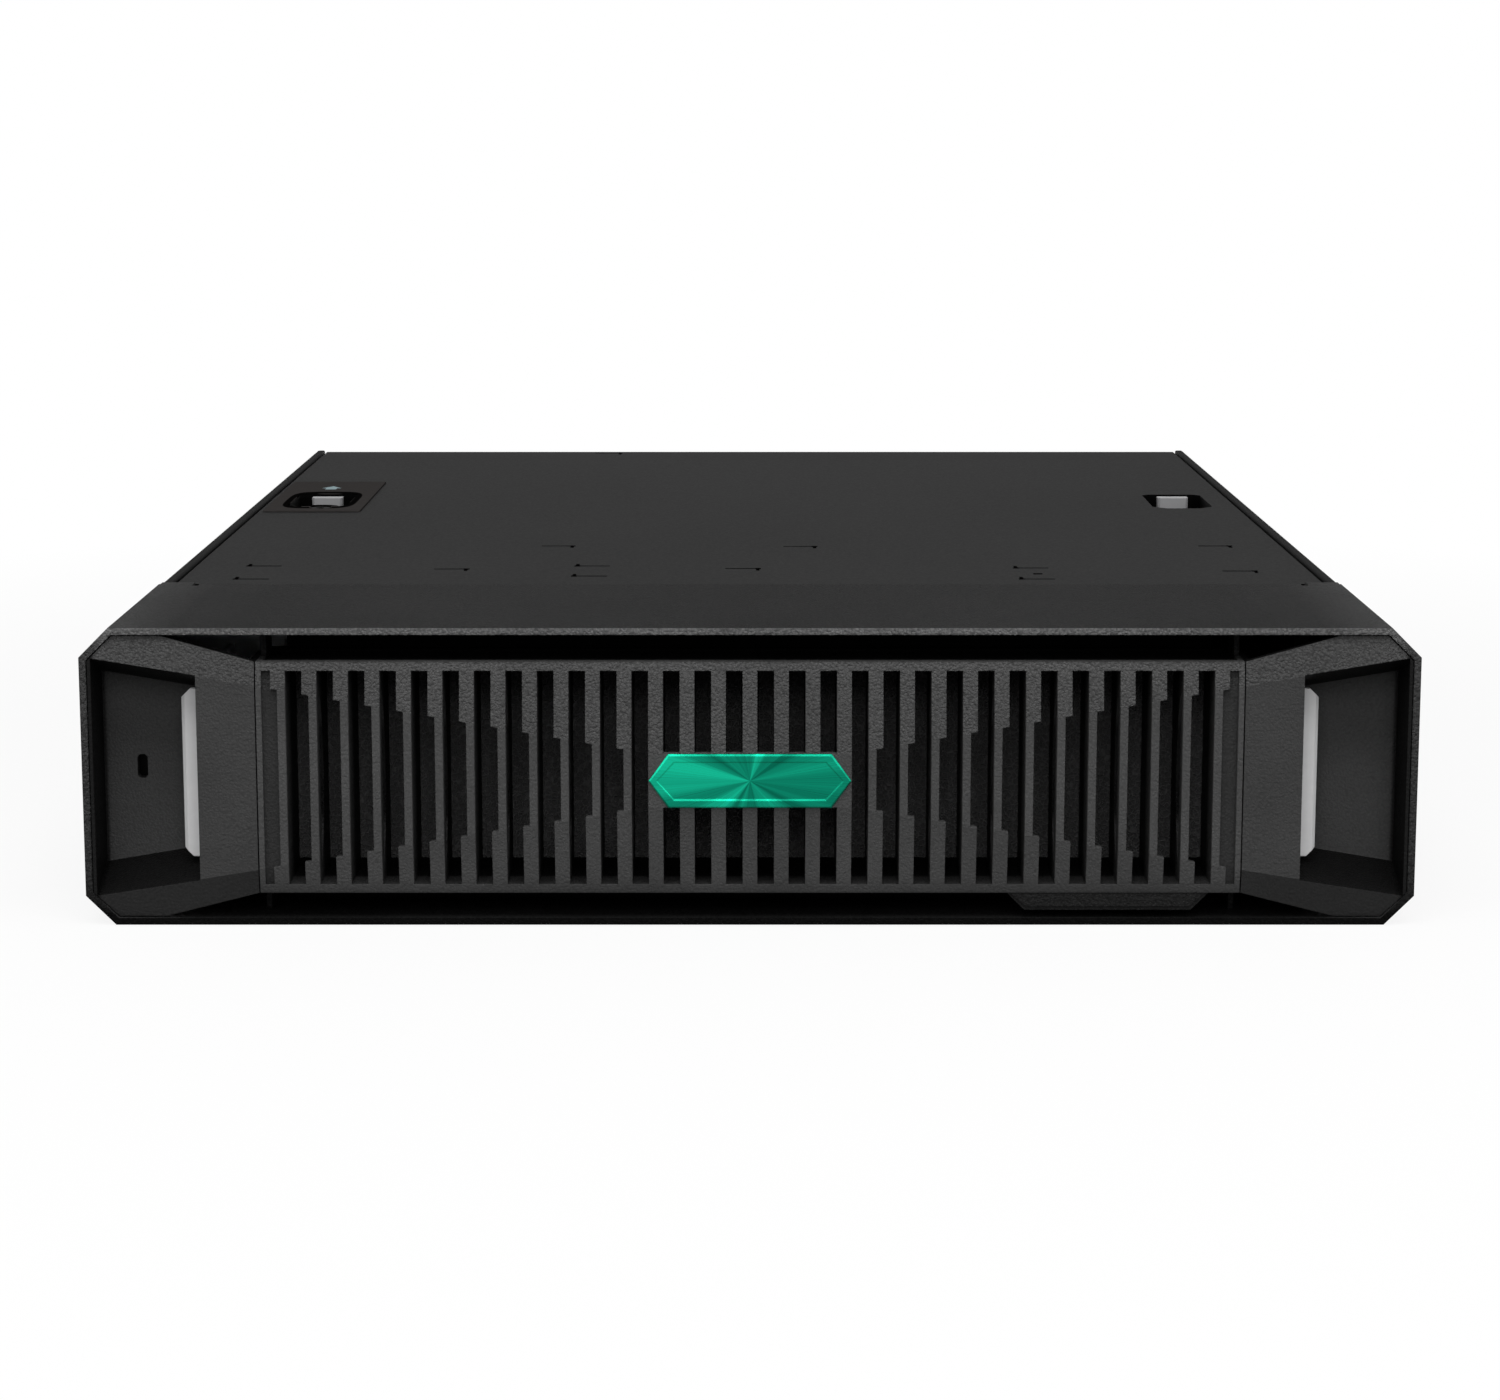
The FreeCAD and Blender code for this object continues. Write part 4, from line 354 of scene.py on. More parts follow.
def painted_depth_shade(finish):
    """Painted shade: the grille darkens behind its face and is black deeper than the slats; it is
    also darker near the bottom and a little lighter near the top.
    """
    behind = finish.math("SUBTRACT", finish.part_of(finish.coords, "Y"), GRILLE_START)
    depth = finish.ramp(finish.math("DIVIDE", behind, GRILLE_REACH), (0.043, 1.0), (0.054, 0.42),
                        (0.12, 0.50), (0.64, 0.42), (0.73, 0.02))
    low = finish.ramp(finish.share("Z", CHASSIS_TOP), (0.10, 0.52), (0.17, 1.0), (0.80, 1.0),
                      (0.88, 1.12))
    return finish.dim(depth, low)


bezel_plastic = pebbled_plastic("bezel_plastic", 0.20, 0.03, (0.60, 0.72), 0.0010, painted_rim_light_shade)
grille_plastic = pebbled_plastic("grille_plastic", 0.073, 0.10, shade=painted_depth_shade, painted_sparkle_up=True)
tab_plastic = pebbled_plastic("tab_plastic", 0.014, 0.06)
pocket_plastic = pebbled_plastic("pocket_plastic", 0.055, 0.08, shade=painted_cup_shade, painted_sparkle_up=True)
print("bezel finishes", bezel_plastic.material.name, grille_plastic.material.name)

# %% [markdown]
# ## Powder-coated steel
# The chassis and cover wear a thin black powder coat. It flows out almost flat, so only a
# very fine orange peel is left, with a broad faint cloudiness from the spray pattern.

# %% Powder coat
def powder_coat(name, level, specular=0.03, shade=None):
    """Thin black powder. Shade may dim the colour from place to place."""
    finish = Finish(name)
    peel = finish.noise(0.0009, 2.0)
    tint = finish.mottled(finish.noise(0.12, 2.0), level)
    if shade:
        tint = finish.dim(tint, shade(finish))
    gloss = finish.ramp(peel, (0.3, 0.64), (0.7, 0.72))
    normal = finish.bump(peel, 0.00002, 0.6, 0.0003)
    return finish.set(colour=tint, rough=gloss, specular=specular, normal=normal)


def painted_cut_shade(finish):
    """Painted shade: upright faces, such as the edges of slits, and the sunk insides of the finger
    recesses are darkened.
    """
    upright = finish.ramp(finish.math("ABSOLUTE", finish.facing("Z")), (0.30, 0.05), (0.75, 1.0))
    sunk = finish.ramp(finish.share("Z", COVER_TOP), (0.985, 0.05), (0.994, 1.0))
    return finish.dim(upright, sunk)


def hem_shade(finish):
    """The tray's hems beside the cover lie in its shadow."""
    return finish.ramp(finish.share("Z", CHASSIS_TOP), (0.955, 1.0), (0.975, 0.15))


cover_paint = powder_coat("cover_paint", 0.008, shade=painted_cut_shade)
tray_paint = powder_coat("tray_paint", 0.021, 0.02, shade=hem_shade)
# Black paint, darker than the tray's so that the front panel seen behind the grille reads as shade:
# partly painted shade.
inner_paint_shade = powder_coat("inner_paint_shade", 0.006)

# %% [markdown]
# ## Metals
# Pieces that the owner seldom sees are left in galvanised steel: pale, slightly blue,
# with stretched rolling marks and a soft spangle. The heat sinks are drawn aluminium, and
# the badge is anodised and brushed outwards, with broad sectors of painted highlight and
# shade in its colour that stand for the light its brushing catches in turn.

# %% Plated steel, bare aluminium and the badge
def plated_steel(name, colour=(0.52, 0.53, 0.55)):
    finish = Finish(name)
    rolled = finish.noise(0.004, 4.0, stretch=(1, 0.06, 1))
    spangled = finish.mix(0.35, rolled, finish.cells(0.009))
    tint = finish.ramp(spangled, (0.2, scaled(colour, 0.82)), (0.8, scaled(colour, 1.08)))
    gloss = finish.ramp(rolled, (0.25, 0.30), (0.75, 0.46))
    normal = finish.bump(rolled, 0.00001, 0.4, 0.0003)
    return finish.set(colour=tint, rough=gloss, metal=1.0, normal=normal)


def extruded_aluminium(name):
    finish = Finish(name)
    drawn = finish.noise(0.0011, 4.0, stretch=(1, 0.03, 1))
    tint = finish.ramp(drawn, (0.3, (0.62, 0.63, 0.65)), (0.7, (0.76, 0.77, 0.78)))
    gloss = finish.ramp(drawn, (0.3, 0.26), (0.7, 0.42))
    return finish.set(colour=tint, rough=gloss, metal=1.0, normal=finish.bump(drawn, 0.00001, 0.5))


def brushed_badge(name, colour):
    """Anodised aluminium brushed outwards from its middle: fine lines, and broad painted highlights
    and shade that turn with the direction from the middle.
    """
    finish = Finish(name)
    arm = finish.vector("SUBTRACT", finish.coords, (0, 0, CHASSIS_TOP / 2))
    heading = finish.vector("NORMALIZE", finish.vector("MULTIPLY", arm, (1, 0, 1)))
    # Painted highlight and shade: broad sectors lighter and darker by direction from the middle.
    painted_sheen_sectors = finish.noise(1 / 2.6, 1.0, where=heading)
    lines = finish.noise(1 / 60, 4.0, where=heading)
    tint = finish.ramp(finish.mix(0.22, painted_sheen_sectors, lines), (0.34, scaled(colour, 0.45)),
                       (0.52, colour), (0.66, scaled(colour, 1.9)))
    gloss = finish.ramp(lines, (0.3, 0.24), (0.7, 0.36))
    normal = finish.bump(lines, 0.000004, 0.4, 0.0004)
    return finish.set(colour=tint, rough=gloss, metal=1.0, normal=normal)


steel = plated_steel("plated_steel")
gold = plated_steel("gold_flash", (0.80, 0.58, 0.26))
tin = plated_steel("tinned_leads", (0.60, 0.60, 0.58))
can_metal = plated_steel("can_aluminium", (0.66, 0.67, 0.69))
badge_metal = brushed_badge("brushed_badge", (0.004, 0.24, 0.145))
aluminium = extruded_aluminium("extruded_aluminium")

# %% [markdown]
# ## Plastics for handles, fans and sockets
# Satin mouldings share one recipe: a fine tooth, a touch of flow variation, soft edges.
# Light grey marks what a hand presses on the outside, and a red-brown what can be touched
# or released inside while the server runs.

# %% Moulded plastics
def satin_plastic(name, colour, rough, grain=0.0006, depth=0.00002, specular=0.4):
    finish = Finish(name)
    tooth = finish.noise(grain, 2.0)
    flow = finish.noise(0.02, 2.0)
    tint = finish.ramp(flow, (0.3, scaled(colour, 0.93)), (0.7, scaled(colour, 1.05)))
    gloss = finish.ramp(tooth, (0.3, rough - 0.05), (0.7, rough + 0.06))
    normal = finish.bump(tooth, depth, 0.6, 0.0004)
    return finish.set(colour=tint, rough=gloss, specular=specular, normal=normal)


def two_shot(name, shown, hidden, edge):
    """Light plastic where a hand reaches it, black beyond a distance from the middle."""
    finish = satin_plastic(name, shown, 0.5, specular=0.04)
    far = finish.math("ABSOLUTE", finish.part_of(finish.coords, "X"))
    clean = finish.ramp(finish.noise(0.003, 2.0), (0.3, scaled(shown, 0.96)), (0.7, shown))
    return finish.set(colour=finish.mix(finish.math("GREATER_THAN", far, edge), clean, hidden))


paddle_plastic = two_shot("paddle_plastic", (0.77, 0.77, 0.775), grey(0.001), 0.172)
touch_grey = satin_plastic("touch_grey", (0.56, 0.56, 0.565), 0.42, specular=0.3)
catch_grey = satin_plastic("catch_grey", (0.25, 0.25, 0.255), 0.45)
release_red = satin_plastic("release_red", (0.36, 0.075, 0.045), 0.40)
black_plastic = satin_plastic("black_plastic", grey(0.018), 0.45)
fan_plastic = satin_plastic("fan_plastic", grey(0.028), 0.36)
carrier_plastic = satin_plastic("carrier_plastic", (0.05, 0.05, 0.054), 0.45)
# Near black, for the blocks that stand in for the shade in the hooks' reliefs: painted shade.
slit_shade_black = satin_plastic("slit_shade_black", grey(0.0006), 0.8, grain=0.0003, specular=0.0)
lock_black = satin_plastic("lock_black", grey(0.0035), 0.6, grain=0.0003, specular=0.03)
# Near black so that the gap above the grille reads as shade: painted shade.
frame_shade_black = satin_plastic("filter_frame_shade_black", grey(0.002), 0.7, specular=0.03)
# Near black, as painted shade for the gaps above and below the grille.
seal_foam_shade = satin_plastic("seal_foam_shade", grey(0.004), 0.8, grain=0.0005, depth=0.0001, specular=0.03)
sticker = satin_plastic("sticker_film", (0.42, 0.42, 0.43), 0.5, grain=0.0004, depth=0.000005)
nylon = satin_plastic("natural_nylon", (0.62, 0.60, 0.53), 0.45)
choke_grey = satin_plastic("choke_grey", (0.055, 0.055, 0.06), 0.6, grain=0.0003)
chip_black = satin_plastic("chip_black", grey(0.016), 0.5, grain=0.0003)
ceramic_tan = satin_plastic("ceramic_tan", (0.38, 0.25, 0.15), 0.5, grain=0.0003)
tantalum_tan = satin_plastic("tantalum_tan", (0.52, 0.30, 0.05), 0.5, grain=0.0003)
lens_green = satin_plastic("lens_green", (0.05, 0.20, 0.06), 0.25, depth=0.000004)
lens_amber = satin_plastic("lens_amber", (0.38, 0.17, 0.02), 0.25, depth=0.000004)

# %% [markdown]
# ## The printed label
# The film round the cover's left-hand recess is drawn by its shader: an arrow that points
# to the back, and round the recess a painted shade, in a squared-off ellipse, with a thin
# painted highlight ring within it.

# %% Label film
label_low, label_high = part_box("latch_label")
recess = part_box("cover_catch_left")
LIP_X = (recess[0].x + recess[1].x) / 2
LIP_Y = label_low.y * 0.648 + label_high.y * 0.352
LIP_HALF_X = 0.0136
LIP_HALF_Y = 0.0270
ARROW_X = LIP_X - 0.0012
ARROW_TIP = label_high.y - 0.0156
ARROW_HALF = 0.0038
ARROW_HEAD = 0.0070
ARROW_STEM = 0.0040
ARROW_NECK = ARROW_TIP - ARROW_HEAD
ARROW_LAP = 0.0001


def printed_label(name, film, ink):
    """Film with a printed arrow towards the back. Round the recess it is darkened as painted shade,
    with a thin painted highlight ring within the dark.
    """
    finish = satin_plastic(name, film, 0.6, grain=0.0003, specular=0.0)
    x, y = (finish.part_of(finish.coords, axis) for axis in "XY")
    calc = finish.math
    aside = calc("ABSOLUTE", calc("SUBTRACT", x, ARROW_X))
    slope = calc("MULTIPLY_ADD", aside, ARROW_HEAD / ARROW_HALF, y)
    head = calc("MULTIPLY", calc("GREATER_THAN", y, ARROW_NECK),
                calc("LESS_THAN", slope, ARROW_TIP))
    stem = calc("MULTIPLY", calc("GREATER_THAN", y, ARROW_NECK - ARROW_STEM),
                calc("LESS_THAN", aside, ARROW_HALF * 0.55))
    stem = calc("MULTIPLY", stem, calc("LESS_THAN", y, ARROW_NECK + ARROW_LAP))
    across, along = (calc("POWER", calc("DIVIDE", calc("SUBTRACT", value, middle), half), 4.0)
                     for value, middle, half in ((x, LIP_X, LIP_HALF_X), (y, LIP_Y, LIP_HALF_Y)))
    # Painted shade round the recess, with a thin painted highlight ring.
    painted_lip_shade = finish.ramp(calc("ADD", across, along), (0.34, 0.06), (0.40, 1.9), (0.46, 0.06),
                      (0.93, 0.06), (1.0, 1.0))
    plain = finish.ramp(finish.noise(0.003, 2.0), (0.3, scaled(film, 0.94)), (0.7, film))
    return finish.set(colour=finish.mix(calc("MAXIMUM", head, stem), finish.dim(plain, painted_lip_shade), ink))


label_film = printed_label("label_film", (0.040, 0.037, 0.036), (0.26, 0.34, 0.36))

# %% [markdown]
# ## The floor
# The floor is matt and nearly white. For the eye, and for what mirrors it, most of its
# brightness is its own, and all of it from a step away, so that it runs into the white
# background while the soft shadow close to the server stays.

# %% Floor material
matt = Finish("pale_floor")
scattered = matt.add("ShaderNodeLightPath").outputs["Is Diffuse Ray"]
pale = matt.ramp(matt.noise(0.6, 2.0), (0.3, 0.80), (0.7, 0.82))
matt.set(colour=matt.mix(scattered, pale, grey(0.16)), rough=0.9, specular=0.1)
fade = {"Value": matt.vector("LENGTH", matt.coords), "From Min": 0.25,
        "From Max": 0.7, "To Min": 0.86, "To Max": 1.0}
own = matt.add("ShaderNodeMapRange", fade).outputs["Result"]
own = matt.math("MULTIPLY", own, eye_rays(matt.tree))
glow = matt.add("ShaderNodeEmission", {"Color": grey(1), "Strength": 1.0})
layers = {0: own, 1: matt.shader.outputs["BSDF"], 2: glow.outputs["Emission"]}
surface_out = matt.tree.nodes["Material Output"].inputs["Surface"]
matt.feed(surface_out, matt.add("ShaderNodeMixShader", layers).outputs["Shader"])
floor.data.materials.append(matt.material)
print("floor", matt.material.name)

# %% [markdown]
# ## Circuit boards
# Solder mask lies over copper, so a board is never one flat green: traces show as
# lighter, slightly raised lines, mostly along and across the board. Two brick patterns
# with long thin bricks stand in for the bundles of traces.

# %% Solder mask
TRACE_WIDTH = 0.00022
TRACE_ROW = 0.0019
PAD_COLOUR = (0.48, 0.42, 0.30)


def solder_mask(name, mask, copper):
    finish = Finish(name)
    bundles = []
    for turn, length in ((0, 0.021), (math.pi / 2, 0.034)):
        turned = {"Vector": finish.coords, "Rotation": (0, 0, turn)}
        where = finish.add("ShaderNodeMapping", turned).outputs["Vector"]
        bricks = {"Vector": where, "Scale": 1.0, "Mortar Size": TRACE_WIDTH, "Mortar Smooth": 0.2,
                  "Brick Width": length, "Row Height": TRACE_ROW, "Color1": grey(0),
                  "Color2": grey(0), "Mortar": grey(1)}
        bundles.append(finish.add("ShaderNodeTexBrick", bricks).outputs["Color"])
    regions = finish.ramp(finish.noise(0.03, 2.0), (0.47, 0.0), (0.53, 1.0))
    lines = finish.mix(regions, *bundles)
    pads = finish.ramp(finish.cells(0.0045), (0.10, 1.0), (0.13, 0.0))
    tint = finish.mix(pads, finish.mix(lines, mask, copper), PAD_COLOUR)
    return finish.set(colour=tint, rough=0.32, coat=0.15, normal=finish.bump(lines, 0.00003, 0.6))


board_green = solder_mask("solder_mask_green", (0.012, 0.075, 0.035), (0.03, 0.15, 0.07))
module_green = solder_mask("solder_mask_module", (0.010, 0.055, 0.040), (0.03, 0.12, 0.09))

# %% [markdown]
# ## Filter foam
# The intake filter is open-cell foam. Seen from in front it is a dark mesh of strands
# round pores about a millimetre wide, which cell distances draw well.

# %% Filter foam
foam = Finish("filter_foam")
strands = foam.ramp(foam.cells(0.0014, "DISTANCE_TO_EDGE"), (0.02, 1.0), (0.16, 0.0))
foam.set(colour=foam.mix(strands, grey(0.078), grey(0.115)), rough=0.9, specular=0.05,
         normal=foam.bump(strands, 0.0002))

# %% [markdown]
# ## Which piece wears which finish
# One row per finish names the pieces that wear it, and plated steel is for all the rest.
# It replaces the slots in the piece's own mesh data, so no plain colour is left.

# %% Assign the finishes
FANS = range(1, 5)
WEARERS = (
    (bezel_plastic, "bezel_shroud"),
    (grille_plastic, "bezel_grille"),
    (pocket_plastic, "grip_left", "grip_right"),
    (tab_plastic, "name_tab"),
    (badge_metal, "badge_plate"),
    (paddle_plastic, "latch_left", "latch_right"),
    (frame_shade_black, "filter_frame"),
    (foam, "filter_pads"),
    (tray_paint, "chassis_tray", "rear_panel", "bezel_ears", "lock_plate"),
    (inner_paint_shade, "front_panel"),
    (cover_paint, "access_panel"),
    (lock_black, "cover_lock"),
    (label_film, "latch_label"),
    (catch_grey, "cover_catch_left", "cover_catch_right"),
    (touch_grey, "power_button", "locator_button"),
    (aluminium, "heat_sink", "small_sink"),
    (board_green, "main_board", "control_board", "power_backplane", "drive_backplane"),
    (module_green, "riser_card", "memory_modules", "board_modules"),
    (black_plastic, "dimm_sockets", "power_stage", *(f"fan_frame_{n}" for n in FANS)),
    (fan_plastic, *(f"fan_rotor_{n}" for n in FANS)),
    (release_red, "psu_release_1", "psu_release_2", "drive_lever_1", "drive_lever_2"),
    (carrier_plastic, "drive_1", "drive_2"),
)
FINISH_OF = {name: finish for finish, *names in WEARERS for name in names}
for name, piece in frame["nodes"].items():
    piece.data.materials.clear()
    piece.data.materials.append(FINISH_OF.get(name, steel).material)
print("dressed", len(frame["nodes"]), "nodes")

# %% [markdown]
# ## Building small pieces
# A piece is one mesh, collected from simple solids: blocks with rounded edges and turned
# parts, each in the finish that is in use at that moment. When it is done, its normals
# are put right, its faces are smoothed up to a crease angle, and it rides on a body.

# %% Piece builder
WELD = 1e-6


class Piece:
    """One mesh object, collected from blocks, turned parts and skins over rings."""

    def __init__(self, name):
        self.name = name
        self.mesh = bmesh.new()
        self.finishes = []
        self.number = 0

    def use(self, finish):
        if finish not in self.finishes:
            self.finishes.append(finish)
        self.number = self.finishes.index(finish)

    def absorb(self, part):
        """Copies a separate small mesh in, with the finish in use."""
        part.verts.index_update()
        corners = [self.mesh.verts.new(vert.co) for vert in part.verts]
        for face in part.faces:
            made = self.mesh.faces.new([corners[vert.index] for vert in face.verts])
            made.material_index = self.number
        part.free()

    def block(self, low, high, bevel=0.0, segments=2):
        """A box between two corners, with rounded edges if asked."""
        part = bmesh.new()
        centre = Vector([(a + b) / 2 for a, b in zip(low, high)])
        size = Vector([b - a for a, b in zip(low, high)])
        bmesh.ops.create_cube(part, size=1.0, matrix=Matrix.LocRotScale(centre, None, size))
        if bevel:
            bmesh.ops.bevel(part, geom=part.edges[:], offset=bevel, offset_type="OFFSET",
                            segments=segments, profile=0.5, affect="EDGES", material=-1,
                            clamp_overlap=True)
        self.absorb(part)

    def slab(self, x, y, half_x, half_y, foot, top, bevel=0.0, segments=2):
        """A block about a place on the board, from its foot to its top."""
        self.block((x - half_x, y - half_y, foot), (x + half_x, y + half_y, top), bevel, segments)

    def turned(self, profile, place, axis, steps=24, lobes=None):
        """Spins (radius, height) points about an axis. Lobes = (count, within, share)."""
        part = bmesh.new()
        line = [part.verts.new((radius, 0, height)) for radius, height in profile]
        edges = [part.edges.new(pair) for pair in zip(line, line[1:])]
        bmesh.ops.spin(part, geom=line + edges, cent=(0, 0, 0), axis=(0, 0, 1),
                       angle=2 * math.pi, steps=steps, use_merge=True)
        bmesh.ops.remove_doubles(part, verts=part.verts[:], dist=WELD)
        if lobes:
            count, within, share = lobes
            for vert in part.verts:
                if 1e-5 < math.hypot(vert.co.x, vert.co.y) < within:
                    wave = 1 + share * math.cos(count * math.atan2(vert.co.y, vert.co.x))
                    vert.co.x *= wave
                    vert.co.y *= wave
        turn = UP.rotation_difference(Vector(axis)).to_matrix().to_4x4()
        move = Matrix.Translation(Vector(place)) @ turn
        bmesh.ops.transform(part, matrix=move, verts=part.verts[:])
        self.absorb(part)

    def skin(self, rows):
        """Closed skin over rows of points; every row is a ring, and the end rows are capped."""
        part = bmesh.new()
        rings = [[part.verts.new(point) for point in row] for row in rows]
        for near, far in zip(rings, rings[1:]):
            for n in range(len(near)):
                part.faces.new((near[n - 1], near[n], far[n], far[n - 1]))
        part.faces.new(rings[0])
        part.faces.new(rings[-1])
        self.absorb(part)

    def done(self, body, slot, *replaced, crease=38):
        bmesh.ops.recalc_face_normals(self.mesh, faces=self.mesh.faces[:])
        data = bpy.data.meshes.new(self.name)
        self.mesh.to_mesh(data)
        self.mesh.free()
        for finish in self.finishes:
            data.materials.append(finish.material)
        data.polygons.foreach_set("use_smooth", [True] * len(data.polygons))
        data.set_sharp_from_angle(angle=math.radians(crease))
        piece = bpy.data.objects.new(self.name, data)
        bpy.context.scene.collection.objects.link(piece)
        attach(piece, body)
        if replaced:
            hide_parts(*replaced)


# %% [markdown]
# ## Reading the places of solids
# One node can hold many solids, such as all the screws. Following the edges from point to
# point finds each of them, and its box tells what to build there. Rays cast at a node's
# faces find gaps and the bare parts of a board.

# %% Solids, boxes and rays
def node_mesh(node, weld=True):
    """A copy of a node's mesh to measure, with its doubled points welded."""
    mesh = bmesh.new()
    mesh.from_mesh(frame["nodes"][node].data)
    if weld:
        bmesh.ops.remove_doubles(mesh, verts=mesh.verts[:], dist=WELD)
    return mesh


def joined(points, next_to):
    """Groups of points that hang together; next_to gives the points beside one."""
    left = set(points)
    while left:
        group = [left.pop()]
        for point in group:
            fresh = [other for other in next_to(point) if other in left]
            left.difference_update(fresh)
            group.extend(fresh)
        yield group


def box_round(points):
    """The lowest and highest corner round some points."""
    spread = [[point.co[k] for point in points] for k in range(3)]
    return Vector([min(line) for line in spread]), Vector([max(line) for line in spread])


def islands(node):
    """Boxes of the separate solids in one node, as (low, high) pairs."""
    mesh = node_mesh(node)
    groups = joined(mesh.verts, lambda vert: [edge.other_vert(vert) for edge in vert.link_edges])
    boxes = [box_round(group) for group in groups]
    mesh.free()
    return sorted(boxes, key=lambda pair: tuple(pair[0]))


def surface(node):
    """A tree of one node's faces, to cast rays at."""
    mesh = node_mesh(node, weld=False)
    tree = BVHTree.FromBMesh(mesh)
    mesh.free()
    return tree


screw_boxes = islands("screws")
print("screw heads to make", len(screw_boxes))

# %% [markdown]
# ## The badge plate
# The plate in the middle of the grille is anodised aluminium with a diamond-cut rim: a
# narrow bright bevel, a flat border, and a field set back a little inside it.

# %% Badge plate
BADGE_RIM = 0.0005
BADGE_BORDER = 0.0022
BADGE_SINK = 0.00035

badge_low, badge_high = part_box("badge_plate")
badge_x = (badge_low.x + badge_high.x) / 2
badge_z = (badge_low.z + badge_high.z) / 2
badge_w = (badge_high.x - badge_low.x) / 2
badge_h = (badge_high.z - badge_low.z) / 2
BADGE_POINT = badge_h * 0.72


def hexagon(inset, y):
    """The badge's outline moved in by inset: a long hexagon with its points at the sides."""
    wide, tall = badge_w - inset, badge_h - inset
    cut = BADGE_POINT - inset * 0.3
    corners = ((-wide, 0), (-wide + cut, tall), (wide - cut, tall), (wide, 0),
               (wide - cut, -tall), (-wide + cut, -tall))
    return [Vector((badge_x + x, y, badge_z + z)) for x, z in corners]


badge = Piece("badge")
badge.use(badge_metal)
badge.skin([hexagon(0, badge_high.y), hexagon(0, badge_low.y + BADGE_RIM),
            hexagon(BADGE_RIM, badge_low.y), hexagon(BADGE_BORDER, badge_low.y),
            hexagon(BADGE_BORDER + BADGE_SINK, badge_low.y + BADGE_SINK)])
badge.done("bezel", "badge_metal", "badge_plate", crease=12)
print("badge", round(badge_w * 2000, 1), "x", round(badge_h * 2000, 1), "mm")

# %% [markdown]
# ## Seals round the filter
# All the air has to pass through the filter. Two strips of dense foam, along the top and
# the bottom of its frame, close the gap to the shroud. They are near black, as painted
# shade, so that the gap above and below the grille reads dark.

# %% Filter seals
SEAL_GAP = 0.0001
SEAL_END = 0.006
SEAL_FRONT = 0.0005

filter_low, filter_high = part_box("filter_frame")
hood = surface("bezel_shroud")
centre = (filter_low + filter_high) / 2
roof = hood.ray_cast(centre, UP)[0].z
ground = hood.ray_cast(centre, -UP)[0].z
seals = Piece("filter_seals")
seals.use(seal_foam_shade)
for foot, top in ((filter_high.z, roof), (ground, filter_low.z)):
    seals.block((filter_low.x + SEAL_END, filter_low.y + SEAL_FRONT, foot + SEAL_GAP),
                (filter_high.x - SEAL_END, filter_high.y, top - SEAL_GAP), 0.001, 3)
seals.done("bezel", "filter_foam")
print("seals", round((roof - filter_high.z) * 1000, 1), "mm high")

# %% [markdown]
# ## Screw heads
# Every screw is a pan head with a six-lobe recess. The head stands on the side of its
# own solid that faces out of the metal: forward, sideways, or up from the board.

# %% Screws
HEAD_PROFILE = ((0, 0), (0.97, 0), (1, 0.3), (0.93, 0.66), (0.74, 0.92), (0.52, 1), (0.47, 0.94),
                (0.44, 0.30), (0, 0.26))


def screw_head(piece, low, high):
    """Fills a screw's box with a turned head, its axis along the box's thinnest side."""
    size = high - low
    centre = (low + high) / 2
    thin = min(range(3), key=lambda k: size[k])
    radius = max(size) / 2 * 0.97
    height = size[thin]
    axis = Vector((0, 0, 0))
    axis[thin] = 1.0
    if thin == 1 or (thin == 0 and centre.x < 0):
        axis = -axis
    profile = [(radius * out, height * up) for out, up in HEAD_PROFILE]
    piece.turned(profile, centre - axis * height / 2, axis, lobes=(6, radius * 0.5, 0.13))


heads = Piece("screw_heads")
heads.use(steel)
for low, high in screw_boxes:
    screw_head(heads, low, high)
heads.done("chassis", "plated_steel", "screws", crease=30)
print("screw heads", len(screw_boxes))

# %% [markdown]
# ## Reliefs of the lanced hooks
# Each hook under the cover is cut on three sides and bent down. Where its slit ends, a
# short narrow relief keeps the sheet from tearing: to the front at a right-hand end, to
# the back at a left-hand one. The slits are found as small closed rims in the upper face.
# The dark of each relief's hole is drawn as a thin black block in the cover's face:
# painted shade.

# %% Hook reliefs
SLIT_LONG = (0.009, 0.014)
SLIT_WIDE = 0.004
RELIEF_HALF = 0.00055
RELIEF_LONG = 0.0052
RELIEF_INSET = 0.001
RELIEF_LAP = 0.0008
RELIEF_DEEP = 0.0004
RELIEF_PROUD = 0.00004
LEVEL = 1e-5


def slits(node, face_z):
    """Slits in a sheet's upper face: (low, high, True if the relief is at the right end)."""
    mesh = node_mesh(node)
    near = {}
    for edge in mesh.edges:
        flush = all(abs(vert.co.z - face_z) < LEVEL for vert in edge.verts)
        if flush and any(abs(face.normal.z) < 0.5 for face in edge.link_faces):
            for vert in edge.verts:
                near.setdefault(vert, []).append(edge.other_vert(vert))
    found = []
    for rim in joined(near, near.get):
        low, high = box_round(rim)
        if SLIT_LONG[0] < high.x - low.x < SLIT_LONG[1] and high.y - low.y < SLIT_WIDE:
            front = [vert.co.x for vert in rim if vert.co.y < low.y + LEVEL]
            found.append((low, high, sum(front) / len(front) > (low.x + high.x) / 2))
    mesh.free()
    return sorted(found, key=lambda slit: tuple(slit[0]))


hooks = slits("access_panel", COVER_TOP)
# Painted shade: a thin black block where each relief's hole reads dark.
relief_shades = Piece("hook_relief_shades")
relief_shades.use(slit_shade_black)
for low, high, right in hooks:
    x = high.x - RELIEF_INSET if right else low.x + RELIEF_INSET
    y = high.y - RELIEF_LAP - RELIEF_LONG if right else low.y + RELIEF_LAP
    relief_shades.block((x - RELIEF_HALF, y, COVER_TOP - RELIEF_DEEP),
                  (x + RELIEF_HALF, y + RELIEF_LONG, COVER_TOP + RELIEF_PROUD), 0.00002, 1)
relief_shades.done("cover", "dark_paint")
print("relief_shades", len(hooks))

